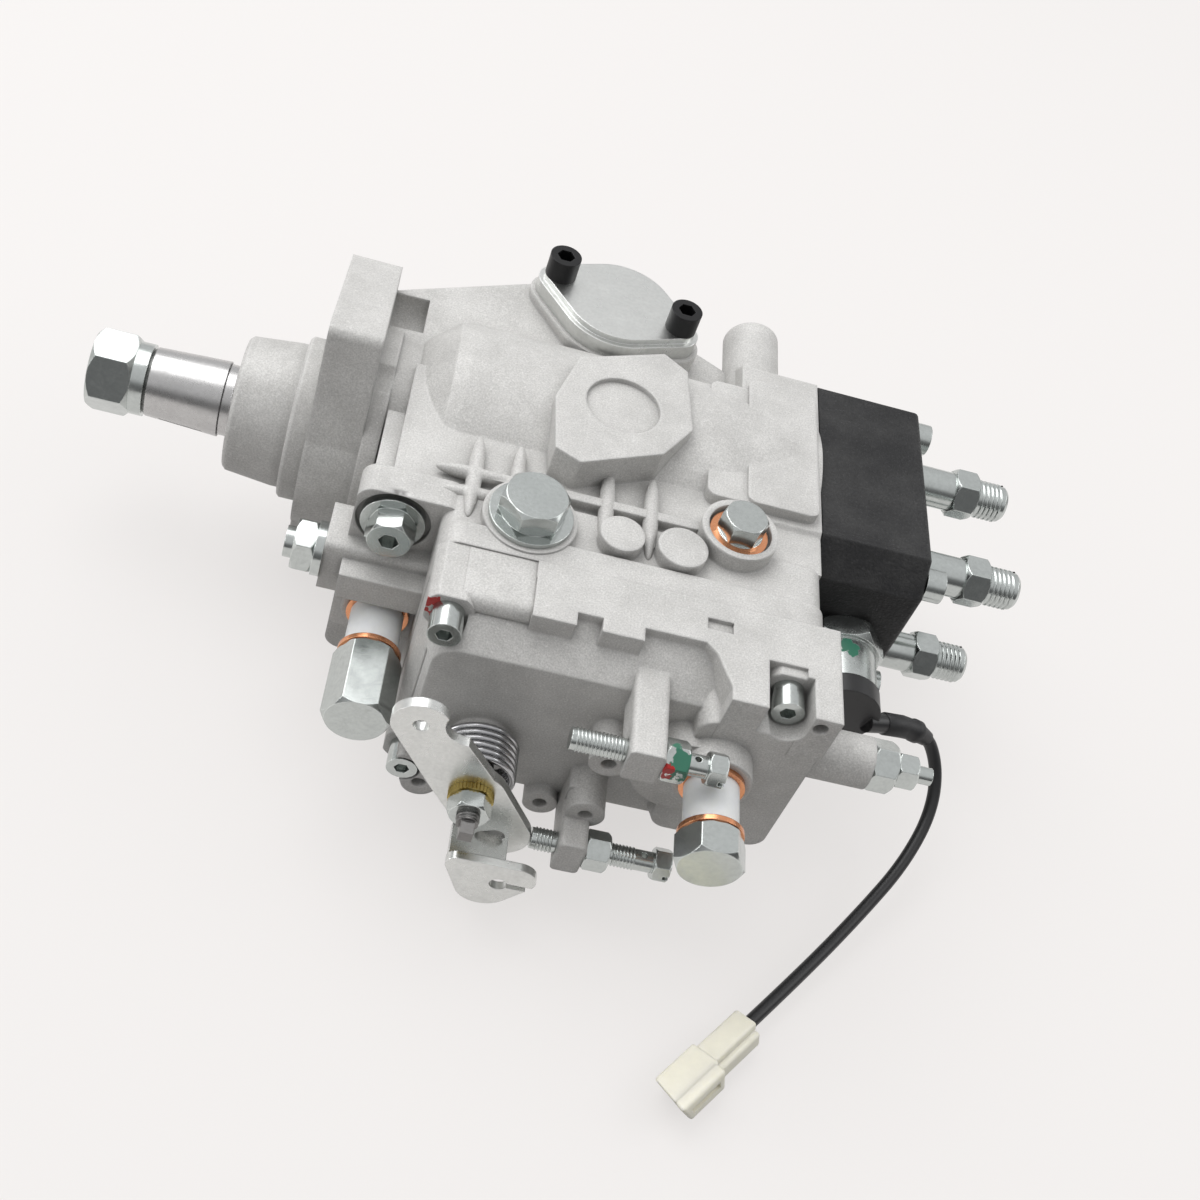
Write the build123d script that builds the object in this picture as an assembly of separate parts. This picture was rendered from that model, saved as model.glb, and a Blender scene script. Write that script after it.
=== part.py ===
"""Rotary distributor diesel injection pump for a four-cylinder engine, in millimetres.

Frame: the origin is the centre of the mounting pilot on the flange face. +X runs along the drive
shaft from the taper to the distributor head. -Y is the side of the governor cover, which is the
top of the pump on an engine, and +Y the side of the timing device. +Z is one of the pump's sides.
"""
import os
from math import asin, atan2, cos, degrees, hypot, pi, radians, sin, sqrt, tan

from build123d import *

# ---- Clearances ---------------------------------------------------------------------------------
run = 0.04          # radial running clearance of a shaft, sleeve or piston in its bore
gap = 0.4           # room between parts that move past each other
thread_gap = 0.08   # radial clearance of a screw in its tapped hole
hole_gap = 0.4      # radial clearance of a screw in a plain hole
seat_gap = 0.05     # radial clearance of a part that is seated in a counterbore

# ---- Hexagons, as shares of the width across flats ------------------------------------------------
hex_corner = 0.575   # radius at the corners
hex_turned = 0.075   # how far the corners are turned off

# ---- Mounting flange, pilot and nose --------------------------------------------------------------
pilot_r = 25.0
pilot_len = 6.0
nose_r = 20.7
nose_root_r = 22.2
nose_len = 23.5
flange_thick = 15.5
flange_half_width = 30.0
flange_top = 45.0           # from the shaft to the flange's flat top edge
flange_bottom = 46.0
flange_corner_r = 3.5
flange_turn = 17.5          # turn of the flange about the shaft, from +Z towards +Y
bolt_circle_r = 39.0
bolt_angles = (32.0, -32.0, 166.0)   # the bolt holes, from the flange's long axis
bolt_hole_r = 4.5
lobe_thick = 8.0
bolt_room = 3.5             # room for a nut behind each bolt hole, beyond the hole's own radius

# ---- Drive shaft ------------------------------------------------------------------------------------
shaft_end_x = -65.0
taper_start_x = -50.0
taper_end_x = -27.3
taper_small_r = 10.5
taper_big_r = 11.6
journal_r = 12.0
shaft_thread_r = 7.0
shaft_nut_af = 22.0
shaft_nut_high = 12.5
spring_washer_thick = 4.0
key_width = 4.0
key_r = 8.0
key_depth = 4.0
key_turn = 221.0            # the key slot's direction about the shaft, from +Y
seal_len = 7.0
seal_r = 17.5
bush_len = 28.0
bush_wall = 2.5

# ---- Supply pump -------------------------------------------------------------------------------------
supply_x = 19.0
supply_len = 16.0
supply_r = 27.5
rotor_r = 19.5
liner_r = 23.0
liner_offset = 2.0
vane_thick = 2.0
vane_root_r = 14.5
supply_cover_thick = 4.0

# ---- Governor drive ----------------------------------------------------------------------------------
module = 1.5
drive_teeth = 46
governor_teeth = 29
gear_x = 54.0
gear_width = 7.0
hub_r = 20.0
governor_z = 6.5
governor_shaft_r = 4.5
governor_nut_af = 14.0
governor_nut_high = 6.0
cage_r = 18.4
cage_end_x = 86.0
weight_count = 4
sleeve_r = 7.0
sleeve_x = 88.0
sleeve_len = 27.0
weight_width = 12.0
weight_out_r = 17.8
weight_in_r = 9.5
weight_x = 67.0
lever_pin_r = 2.5
ball_r = 3.0
pivot_pin_r = 3.0
governor_front_x = 12.5
eccentric_r = 8.0
eccentric_pin_r = 2.0
washer_thick = 1.5

# ---- Cam drive ---------------------------------------------------------------------------------------
timer_x = 84.0
timer_y = 48.0
ring_bore_r = 20.0
ring_len = 18.0
roller_count = 4
roller_r = 5.5
roller_len = 8.5
roller_pin_r = 1.8
cam_r = 33.5
cam_thick = 9.0
lobe_lift = 2.2
claw_out_r = 17.0
claw_width = 8.5

# ---- Plunger and control sleeve --------------------------------------------------------------------------
plunger_r = 5.5
plunger_end_x = 180.0
plunger_foot_r = 11.0
spring_seat_thick = 2.5
control_sleeve_x = 119.5
control_sleeve_len = 8.0
control_sleeve_r = 11.0
lever_pivot_x = 122.5
lever_pivot_y = -30.0
plunger_spring_r = 5.0
plunger_spring_wire = 1.1
plunger_spring_z = 21.0
guide_pin_r = 2.5

# ---- Housing -------------------------------------------------------------------------------------------
neck_r = 31.0
barrel_r = 41.0
barrel_x = 26.0
shoulder_len = 15.0
shoulder_drop = 12.0
cam_bore_r = 36.8
cam_bore_x = 45.0
side_half = 35.0
chamber_half = side_half - 3.0
deck_half = side_half + 2.5
deck_y = -70.0
deck_high = 8.0
deck_x = 41.5
front_x = 18.0
front_deck_y = -56.0
ledge_y = -46.0
rear_x = 151.0
rear_flange_x = 120.0

# ---- Timing device ---------------------------------------------------------------------------------------
timer_piston_r = 10.8
timer_tube_r = 19.5
timer_piston_half = 20.0
timer_pad_z = 30.0
timer_cover_thick = 7.0
timer_screw_reach = 20.8
timer_turn = -15.2
timer_pin_r = 4.0

# ---- Distributor head -------------------------------------------------------------------------------------
head_len = 35.0
head_spigot_r = 33.0
head_spigot_len = 8.0
outlet_circle_r = 27.0
outlet_count = 4
outlet_thread_r = 6.0
outlet_af = 14.0
outlet_len = 34.0
valve_r = 3.5
centre_plug_r = 11.0
head_bolt_r = 3.0
head_bolt_y = 34.0
head_bolt_low_y = -31.0
head_bolt_z = 25.0

# ---- Governor cover ----------------------------------------------------------------------------------------
cover_x = 41.5
cover_len = 112.5
cover_top_y = -97.0
cover_rear_y = cover_top_y - 5.0
cover_rear_x = 117.0
cover_wall = 4.5
tapped_r = 2.1              # tapped holes for brackets on the cover
governor_spring_y = cover_top_y + 12.0
rib_z = side_half + 3.0
side_face = rib_z - 1.0
cover_side_high = 13.0      # height of the cover's upright side below its slope
cover_screw_x = (47.6, 141.0)
cover_screw_z = 31.0
cover_screw_r = 2.5
cover_screw_head_r = 4.5
cover_screw_head_len = 8.0
cover_screw_top_y = cover_top_y

# ---- Throttle ------------------------------------------------------------------------------------------------
throttle_x = 65.5
throttle_z = -8.0
throttle_r = 5.0
throttle_boss_r = 8.5
lever_y = cover_top_y - 16.5
lever_thick = 3.0
stud_r = 3.0
throttle_washer_r = 6.3
throttle_washer_thick = 2.0
throttle_nut_af = 10.5
rod_hole = (47.0, 17.5)     # the throttle rod's hole in the lever
rod_hole_r = 2.2
bracket_y = lever_y - 11.0
bracket_thick = 2.5
spring_wire = 2.0
spring_coil_r = 11.5
spring_turns = 6

# ---- Stop and full-load screws --------------------------------------------------------------------------------
stop_y = cover_top_y - 18.0
max_stop_z = 24.0
idle_stop_z = -24.5
stop_screw_r = 3.0
stop_nut_af = 10.0
full_load_y = cover_top_y + 4.0
full_load_z = 13.0
full_load_r = 4.0

# ---- Fuel connections --------------------------------------------------------------------------------------------
banjo_thread_r = 6.0
banjo_af = 17.0
banjo_washer_r = 9.0
banjo_washer_thick = 1.5
banjo_sleeve_r = 7.6
banjo_sleeve_len = 14.0
inlet_x, inlet_z, inlet_y = 31.2, -7.5, -62.0
outlet_x, outlet_z, outlet_y = 127.0, 10.0, cover_top_y - 12.5
inlet_head_len = 22.5
outlet_head_len = 9.5

# ---- Plugs and valves on the housing --------------------------------------------------------------------------------
large_plug_x, large_plug_y = 64.6, -55.0
large_plug_r = 8.0
large_plug_flange_r = 11.8
large_plug_af = 17.0
pivot_plug_x, pivot_plug_y = 124.0, -43.0
pivot_plug_r = 5.0
pivot_plug_af = 12.0
boss_top_z = side_half + 4.5
regulator_x, regulator_z = 29.0, 24.5
regulator_r = 6.5
regulator_counterbore_r = 10.5
octagon_z = barrel_r + 3.0
rear_pad_z = barrel_r - 3.0

# ---- Stop solenoid and its lead ----------------------------------------------------------------------------------------
solenoid_x = 169.5
solenoid_z = 0.0
solenoid_thread_r = 8.0
solenoid_af = 24.0
solenoid_r = 11.0
lead_r = 2.0


# ---- Shared shapes ---------------------------------------------------------------------------------------------------------
def along_x(sketch, start, end):
    """Extrude a (Y, Z) sketch from X = start to X = end."""
    return extrude(Plane.YZ.offset(start) * sketch, end - start)


def along_y(sketch, start, end):
    """Extrude an (X, Z) sketch from Y = start towards -Y, to Y = end."""
    return extrude(Plane.XZ.offset(-start) * sketch, start - end)


def along_z(sketch, start, end):
    """Extrude an (X, Y) sketch from Z = start to Z = end."""
    return extrude(Plane.XY.offset(start) * sketch, end - start)


def disc(a, b, r):
    return Pos(a, b) * Circle(r)


def ring(a, b, outer, inner):
    return Pos(a, b) * (Circle(outer) - Circle(inner))


def hexagon(a, b, across_flats, turn=0.0):
    return Pos(a, b) * Rot(0, 0, turn) * RegularPolygon(across_flats / 2, 6, major_radius=False)


def slab(a0, a1, b0, b1, corner=0.0):
    """A rectangle between two opposite corners, with rounded corners if asked."""
    centre = Pos((a0 + a1) / 2, (b0 + b1) / 2)
    if corner:
        return centre * RectangleRounded(abs(a1 - a0), abs(b1 - b0), corner)
    return centre * Rectangle(abs(a1 - a0), abs(b1 - b0))


def turned(points, axis=Axis.X):
    """Revolve an (X, radius) outline about the drive-shaft axis."""
    return revolve(make_face(Polyline(*points, close=True)), axis, 360)


def hex_body(make, a, b, across_flats, start, end, turn=0.0):
    """A hexagon prism whose corners are turned off at its ends, as on a nut or a bolt head."""
    prism = make(hexagon(a, b, across_flats, turn), start, end)
    blank = make(disc(a, b, across_flats * hex_corner), start, end)
    return prism & chamfer(blank.edges().filter_by(GeomType.CIRCLE), across_flats * hex_turned)


def fused(*solids):
    whole = solids[0]
    for solid in solids[1:]:
        whole = whole + solid
    return whole


def save(name, shape):
    """Write one node, its separate solids as one group."""
    solids = list(shape) if isinstance(shape, (list, tuple)) else list(shape.solids())
    for solid in solids:
        solid.label = name
    item = solids[0] if len(solids) == 1 else Compound(label=name, children=solids)
    item.label = name
    export_step(item, f"parts/{name}.step")


# ---- Places that several pieces share ----------------------------------------------------------------------------------------
gear_centres = module * (drive_teeth + governor_teeth) / 2
governor_y = -sqrt(gear_centres ** 2 - governor_z ** 2)
supply_cover_x = supply_x + supply_len
supply_end_x = supply_cover_x + supply_cover_thick
gear_end_x = gear_x + gear_width
governor_nut_x = governor_front_x - governor_nut_high - 2.5
deck_seat_z = side_half
ring_r = cam_bore_r - run
ring_x = timer_x - ring_len / 2
ring_end_x = ring_x + ring_len
roller_x = ring_end_x - roller_r + 2.5
cam_x = roller_x + roller_r + 0.3 + lobe_lift
cam_end_x = cam_x + cam_thick
plunger_foot_x = cam_end_x + 0.1
spring_seat_x = plunger_foot_x + 4.0
control_sleeve_mid = control_sleeve_x + control_sleeve_len / 2
control_sleeve_end = control_sleeve_x + control_sleeve_len
seal_x = -nose_len + 1.5
bush_x = -bush_len / 2
cover_base_y = deck_y
cover_end_x = cover_x + cover_len
head_x = rear_x + 0.5
head_end_x = head_x + head_len
solenoid_seat_y = -38.5
lead_route = [(184.0, -64.3, -3.0), (201.5, -57.0, -8.0), (211.0, -62.5, -18.0), (212.2, -74.0, -28.0),
              (203.0, -90.0, -35.0), (190.5, -107.0, -39.5), (173.0, -129.0, -42.0), (155.5, -149.5, -42.5)]
outlet_seat_x = head_end_x - 10.5
valve_end_x = outlet_seat_x + 10
valve_room_end = outlet_seat_x + 19
outlet_end_x = head_end_x + outlet_len
cover_seat_y = cover_screw_top_y + cover_screw_head_len
full_tip_x = pivot_plug_x + 6.2
outlet_angles = [45 + 360 / outlet_count * n for n in range(outlet_count)]
outlet_places = [(outlet_circle_r * cos(radians(a)), outlet_circle_r * sin(radians(a))) for a in outlet_angles]
head_bolt_places = [(y, z) for y in (head_bolt_y, head_bolt_low_y) for z in (head_bolt_z, -head_bolt_z)]
timer_screw_places = [
    (timer_x + side * timer_screw_reach * cos(radians(timer_turn)),
     timer_y + side * timer_screw_reach * sin(radians(timer_turn))) for side in (-1, 1)]
bracket_holes = [(98.7, -15.7, cover_top_y - 13), (99.0, 7.0, cover_top_y - 11)]
cover_screw_places = [(x, side * cover_screw_z) for x in cover_screw_x for side in (1, -1)]


def flange_point(angle):
    """A bolt hole's (Y, Z) place, at an angle from the flange's long axis."""
    turn = radians(flange_turn + angle)
    return bolt_circle_r * sin(turn), bolt_circle_r * cos(turn)


flange_holes = [flange_point(a) for a in bolt_angles]


# ---- Housing -------------------------------------------------------------------------------------------------------------------
def nose():
    return turned([(-nose_len, 0), (-nose_len, nose_r - 1), (-nose_len + 1, nose_r),
                   (-pilot_len - 2.5, nose_root_r), (-pilot_len, nose_root_r), (-pilot_len, pilot_r - 0.8),
                   (-pilot_len + 0.8, pilot_r), (flange_thick, pilot_r), (flange_thick, 0)])


def flange():
    """A three-bolt flange: square at the top, drawn in to one lobe at the bottom."""
    outline = make_face(Polyline((-flange_half_width, flange_top), (flange_half_width, flange_top),
                                 (flange_half_width, -20), (18, -flange_bottom), (0, -flange_bottom),
                                 (-flange_half_width, -8), close=True))
    outline = fillet(outline.vertices(), flange_corner_r)
    turn = Rot(0, 0, -flange_turn)
    plate = along_x(turn * outline, 0, flange_thick)
    relief = along_x(turn * slab(-60, -10, -60, -9), lobe_thick, flange_thick)
    plate -= relief - along_x(Circle(pilot_r + 3), 0, flange_thick)
    return plate


def barrel():
    """The round cam housing behind the flange, its coned shoulder, and the neck that joins them."""
    neck = along_x(Circle(neck_r), 0, barrel_x + 4)
    collar = along_x(Circle(neck_r + 2), flange_thick, flange_thick + 5)
    profile = make_face(Polyline((barrel_x, barrel_r - shoulder_drop), (barrel_x, 0), (rear_x, 0),
                                 (rear_x, barrel_r - 4), (rear_flange_x, barrel_r),
                                 (barrel_x + shoulder_len, barrel_r),
                                 (barrel_x + shoulder_len - 4, barrel_r - 0.8),
                                 (barrel_x + 1.5, barrel_r - shoulder_drop + 3), close=True))
    return neck + collar + revolve(profile, Axis.X, 360)


def timer_body():
    """The cross cylinder of the timing device and the ridge that runs back to the flange."""
    tube = along_z(disc(timer_x, timer_y, timer_tube_r), -timer_pad_z, timer_pad_z)
    pads = [along_z(timer_outline(1.5), side * timer_pad_z, side * (timer_pad_z - 9)) for side in (-1, 1)]
    near = Plane.YZ.offset(flange_thick - 1) * slab(10, 41, -26, 26, 4)
    far = Plane.YZ.offset(timer_x - 26) * slab(10, timer_y + 14, -27, 27, 5)
    back = Plane.YZ.offset(timer_x + 22) * slab(10, timer_y + 8, -24, 24, 5)
    end = Plane.YZ.offset(rear_x - 8) * slab(10, 41, -20, 20, 5)
    return fused(tube, *pads, loft([near, far]), loft([far, back]), loft([back, end]))


def timer_outline(extra=0.0):
    """The rhombic outline that the timing device's cover and its pad share."""
    circles = [disc(timer_x, timer_y, timer_tube_r + extra)]
    circles += [disc(x, y, 6.5 + extra) for x, y in timer_screw_places]
    return make_hull(Sketch(children=circles).edges())


def governor_body():
    """The box that holds the governor, open towards the cover."""
    rear = along_y(slab(deck_x, rear_x, -side_half, side_half, 5), ledge_y, deck_y)
    deck = along_y(slab(deck_x, rear_x, -deck_half, deck_half, 6), deck_y + deck_high, deck_y)
    wall = along_y(slab(barrel_x, rear_x, -side_half + 2, side_half - 2), 0, ledge_y)
    front = along_y(slab(front_x, deck_x + 6, -side_half, side_half, 5), ledge_y, front_deck_y)
    front_wall = along_y(slab(front_x + 3, deck_x + 6, -side_half + 4, side_half - 4), -20, ledge_y)
    shaft_boss = along_x(slab(inlet_y + 0.5, governor_y + 12, governor_z - 11, governor_z + 8.5, 2),
                         governor_front_x, deck_x + 1)
    return fused(rear, deck, wall, front, front_wall, shaft_boss)


def inlet_body():
    """The inlet port's block and seat in front of the cover."""
    block = along_y(slab(front_x, deck_x + 2, inlet_z - 11, inlet_z + 19, 2), -40, inlet_y + 1)
    lip = along_y(slab(front_x, deck_x + 1, inlet_z + 9.5, inlet_z + 19), inlet_y + 2, -68)
    seat = along_y(disc(inlet_x, inlet_z, banjo_washer_r + 1.8), -40, inlet_y)
    return fused(block, lip, seat)


def head_outline(extra=0.0):
    """The chamfered outline that the distributor head and the housing's rear flange share."""
    left, right, half = -38.5 - extra, 45.0 + extra, 34.0 + extra
    return make_face(Polyline((left, -half + 9), (left + 9, -half), (right - 10, -half), (right, -half + 11),
                              (right, half - 11), (right - 10, half), (left + 9, half), (left, half - 9),
                              close=True))


def side_pads():
    """The octagonal pad, the stepped rear pad and the boss that stands beside the head."""
    corners = [(72, 8), (97.8, 19.4), (105.3, 13.9), (107.7, -11.1), (99.4, -24.2), (75.7, -35.8),
               (68.2, -32.3), (66.3, -11.1)]
    octagon = along_z(make_face(Polyline(*corners, close=True)), 20, octagon_z)
    octagon -= along_z(disc(86.5, -8, 11.2), octagon_z - 1.5, octagon_z)
    rear_pad = along_z(slab(127, rear_x - 2, -28, 26, 3), 20, rear_pad_z)
    step = along_z(slab(115, 130, -28, 22, 3), 20, rear_pad_z - 1)
    stud_boss = along_y(disc(133, 21, 9.2), 64.5, 20)
    stud_boss -= along_y(disc(133, 21, 4.0), 64.5, 48)
    return fused(octagon, rear_pad, step, stud_boss)


def side_bosses():
    """The row of round bosses and the ribs on the governor box's side."""
    bosses = [(large_plug_x, large_plug_y, large_plug_flange_r + 1.5, boss_top_z - 1.5),
              (90.4, -54.5, 6.4, boss_top_z), (107.8, -54.2, 7.2, boss_top_z),
              (pivot_plug_x, pivot_plug_y, 11.3, boss_top_z + 1)]
    shapes = [along_z(disc(x, y, r), 26, top) for x, y, r, top in bosses]
    rail = along_z(slab(46, 113, -43.2, -40.2, 1), 26, side_half + 1.5)
    ribs = [along_z(slab(x - 1.5, x + 1.5, -54, -30, 1), 26, side_half + 1) for x in (48, 60, 86, 99)]
    return fused(*shapes, rail, *ribs)


def housing_hollows():
    """Everything that is bored or cored out of the housing."""
    cuts = [
        along_x(Circle(journal_r + bush_wall), -nose_len, supply_x + 1),
        along_x(Circle(seal_r), -nose_len, seal_x + seal_len),
        along_x(Circle(supply_r + seat_gap), supply_x, cam_bore_x + 1),
        along_x(Circle(cam_bore_r), cam_bore_x, rear_x - 12),
        along_x(Circle(head_spigot_r + seat_gap), rear_x - 14, rear_x),
        along_y(slab(cam_bore_x, rear_x - 6, 6 - side_half, side_half - 6, 3), -10, ledge_y),
        along_y(slab(cam_bore_x, rear_x - 6, -chamber_half, chamber_half, 3), ledge_y, deck_y)
        - fused(*[along_y(disc(x, z, 6.0), -10, deck_y) for x, z in cover_screw_places])
        - fused(*[along_x(disc(y, z, 6.0), rear_x - 16, rear_x) for y, z in head_bolt_places]),
        along_x(disc(governor_y, governor_z, governor_shaft_r + run), 0, cam_bore_x + 1),
        along_z(disc(timer_x, timer_y, timer_piston_r + run), -timer_pad_z, timer_pad_z),
        along_z(slab(timer_x - 6, timer_x + 6, 25, timer_y), -10, 10),
        along_y(disc(regulator_x, regulator_z, regulator_r + thread_gap), -34, front_deck_y),
        along_y(disc(regulator_x, regulator_z, regulator_counterbore_r), front_deck_y + 2, front_deck_y),
        along_y(disc(inlet_x, inlet_z, banjo_thread_r + thread_gap), -36, inlet_y),
        along_z(disc(large_plug_x, large_plug_y, large_plug_r + thread_gap), 28, boss_top_z),
    ]
    for side in (-1, 1):
        cuts.append(along_z(disc(pivot_plug_x, pivot_plug_y, pivot_plug_r + thread_gap), side * 20, side * 45))
    cuts.append(along_z(disc(pivot_plug_x, pivot_plug_y, 9.3), boss_top_z - 2, boss_top_z + 2))
    for x, y in timer_screw_places:
        for side in (-1, 1):
            cuts.append(along_z(disc(x, y, head_bolt_r + thread_gap), side * (timer_pad_z - 12), side * timer_pad_z))
    for x, z in cover_screw_places:
        cuts.append(along_y(disc(x, z, cover_screw_r + thread_gap), deck_y + 14, deck_y))
    for y, z in head_bolt_places:
        cuts.append(along_x(disc(y, z, head_bolt_r + thread_gap), rear_x - 14, rear_x))
    return cuts


def pump_housing():
    body = fused(flange(), nose(), barrel(), timer_body(), governor_body(), inlet_body(), side_pads(),
                 side_bosses(), along_x(head_outline(0.5), rear_flange_x + 6, rear_x))
    for y, z in flange_holes:
        body -= along_x(disc(y, z, bolt_hole_r), 0, flange_thick)
        body -= along_x(disc(y, z, bolt_hole_r + bolt_room), flange_thick, barrel_x)
    for side in (-1, 1):
        body -= along_z(timer_outline(1.5), side * timer_pad_z, side * (timer_pad_z + barrel_r))
    for cut in housing_hollows():
        body -= cut
    return body


# ---- Drive shaft and supply pump ------------------------------------------------------------------------------------------------
def claws(start, end, turn):
    """Two driving claws on opposite sides of the axis."""
    shape = (Circle(claw_out_r) - Circle(8)) & Rectangle(2 * claw_out_r, claw_width)
    return along_x(Rot(0, 0, turn) * shape, start, end)


def drive_shaft():
    shaft = turned([(shaft_end_x, 0), (shaft_end_x, shaft_thread_r - 1), (shaft_end_x + 1, shaft_thread_r),
                    (taper_start_x, shaft_thread_r), (taper_start_x, taper_small_r - 1),
                    (taper_start_x + 1, taper_small_r), (taper_end_x, taper_big_r),
                    (taper_end_x + 0.3, taper_big_r - 0.7), (-nose_len - 1, taper_big_r - 0.7),
                    (-nose_len - 0.5, journal_r), (gear_x - 1, journal_r), (gear_x - 1, hub_r),
                    (gear_end_x + 1, hub_r), (gear_end_x + 1, 0)])
    slot_depth = (taper_small_r + taper_big_r) / 2 - key_depth + key_r
    slot = Rot(key_turn, 0, 0) * Pos((taper_start_x + taper_end_x) / 2, slot_depth, 0) * Cylinder(key_r, key_width)
    return shaft - slot + claws(gear_end_x, ring_x + 4, 0)


def shaft_nut():
    nut = hex_body(along_x, 0, 0, shaft_nut_af, taper_start_x - spring_washer_thick - shaft_nut_high,
                   taper_start_x - spring_washer_thick)
    return nut - along_x(Circle(shaft_thread_r + thread_gap), shaft_end_x, taper_start_x)


def shaft_spring_washer():
    washer = along_x(ring(0, 0, shaft_nut_af / 2, shaft_thread_r + hole_gap), taper_start_x - spring_washer_thick,
                     taper_start_x)
    split = Rot(-30, 0, 0) * Pos(taper_start_x, shaft_thread_r + 3, 0) * Rot(0, 0, 20) * Box(20, 9, 1.0)
    return washer - split


def shaft_bush():
    return along_x(ring(0, 0, journal_r + bush_wall, journal_r + run), bush_x, bush_x + bush_len)


def oil_seal():
    """The lip seal in the nose: a cased ring with a lip that leans on the shaft."""
    return turned([(seal_x, journal_r + 0.3), (seal_x, seal_r), (seal_x + seal_len, seal_r),
                   (seal_x + seal_len, seal_r - 1.5), (seal_x + 1.5, seal_r - 1.5), (seal_x + 1.5, journal_r + 1.6),
                   (seal_x + seal_len - 1.5, journal_r + 1.6), (seal_x + seal_len - 1.5, journal_r + 0.3)])


def supply_liner():
    """The eccentric ring that the vanes sweep, with its two ports and its end plate."""
    body = ring(0, 0, supply_r, 1) - Pos(0, liner_offset) * Circle(liner_r)
    ports = [Rot(0, 0, turn) * slab(liner_r - 3, liner_r + 2.5, -7, 7, 2) for turn in (0, 180)]
    liner = along_x(body, supply_x, supply_cover_x) - along_x(Sketch() + ports, supply_x, supply_x + 3)
    return liner + along_x(ring(0, 0, supply_r, journal_r + gap), supply_cover_x, supply_end_x)


def supply_rotor():
    disc_body = ring(0, 0, rotor_r, journal_r + run)
    for turn in range(0, 360, 90):
        disc_body -= Rot(0, 0, turn + 45) * slab(vane_root_r, rotor_r + 1, -vane_thick / 2, vane_thick / 2)
    return along_x(disc_body, supply_x + 0.2, supply_cover_x - 0.2)


def supply_vanes():
    """Four sliding vanes, drawn in to the liner's nearest reach."""
    tip_r = liner_r - liner_offset - 0.15
    vane = slab(vane_root_r + 0.3, tip_r, -vane_thick / 2 + run, vane_thick / 2 - run)
    return [along_x(Rot(0, 0, turn + 45) * vane, supply_x + 0.2, supply_cover_x - 0.2) for turn in range(0, 360, 90)]


# ---- Gears and governor ------------------------------------------------------------------------------------------------------------
def gear_outline(teeth, phase):
    """Straight-flanked teeth on the shared module, with the first tooth at the phase angle."""
    pitch_r = module * teeth / 2
    step = 360 / teeth
    corners = ((pitch_r - 1.2 * module, -0.31), (pitch_r + 0.95 * module, -0.12),
               (pitch_r + 0.95 * module, 0.12), (pitch_r - 1.2 * module, 0.31))
    points = []
    for tooth in range(teeth):
        for radius, share in corners:
            angle = radians(phase + (tooth + share) * step)
            points.append((radius * cos(angle), radius * sin(angle)))
    return make_face(Polyline(*points, close=True))


def mesh_angle():
    """The direction of the governor's axis from the drive shaft."""
    return degrees(atan2(governor_z, governor_y))


def drive_gear():
    body = gear_outline(drive_teeth, mesh_angle()) - Circle(hub_r + run)
    return along_x(body, gear_x, gear_end_x)


def on_governor(shape):
    return Pos(0, governor_y, governor_z) * shape


def flyweight_cage():
    """The governor's gear with the slotted cage that carries the flyweights."""
    gear = along_x(gear_outline(governor_teeth, mesh_angle() + 180 + 180 / governor_teeth), gear_x, gear_end_x)
    cup = along_x(Circle(cage_r), gear_end_x, cage_end_x) - along_x(Circle(cage_r - 2.5), gear_end_x + 3, cage_end_x)
    for n in range(weight_count):
        window = slab(5, cage_r + 2, -weight_width / 2 - gap, weight_width / 2 + gap)
        cup -= along_x(Rot(0, 0, n * 360 / weight_count + 45) * window, gear_end_x + 3, cage_end_x - 3)
    return on_governor(gear + cup - along_x(Circle(governor_shaft_r + run), gear_x, gear_end_x + 4))


def flyweight():
    """One weight on +Y of the governor's axis: a curved block with a toe that pushes the sleeve."""
    block = along_x(ring(0, 0, weight_out_r, weight_in_r), weight_x - 2, cage_end_x - 4)
    block &= along_x(slab(0, weight_out_r + 1, -weight_width / 2, weight_width / 2), weight_x - 2, cage_end_x)
    toe = along_x(slab(sleeve_r + 0.6, weight_in_r + 2, -2, 2), weight_x - 1.5, weight_x + 1.5)
    return block + toe


def flyweights():
    return [on_governor(Rot(n * 360 / weight_count + 45, 0, 0) * flyweight()) for n in range(weight_count)]


def governor_shaft():
    """The governor's fixed shaft with the hexagon and collar that hold it in the housing."""
    shaft = along_x(Circle(governor_shaft_r), governor_nut_x - 2.5, sleeve_x + sleeve_len - 4)
    nut = hex_body(along_x, 0, 0, governor_nut_af, governor_nut_x, governor_nut_x + governor_nut_high, 15)
    collar = along_x(Circle(governor_nut_af * 0.56), governor_nut_x + governor_nut_high, governor_front_x)
    return on_governor(fused(shaft, nut, collar))


def governor_sleeve():
    """The sliding sleeve, closed to a domed end that pushes the start lever."""
    start = weight_x + 1.5 + 0.3
    end = sleeve_x + sleeve_len
    flanged = make_face(Polyline((start, governor_shaft_r + run), (start, weight_in_r - gap), (start + 2, weight_in_r - gap),
                                 (start + 2, sleeve_r), (end - 2, sleeve_r), (end - 1, sleeve_r - 2), (end, 1.5),
                                 (end, 0),
                                 (end - 2.5, 0), (end - 2.5, governor_shaft_r + run), close=True))
    return on_governor(revolve(flanged, Axis.X, 360))


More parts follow.
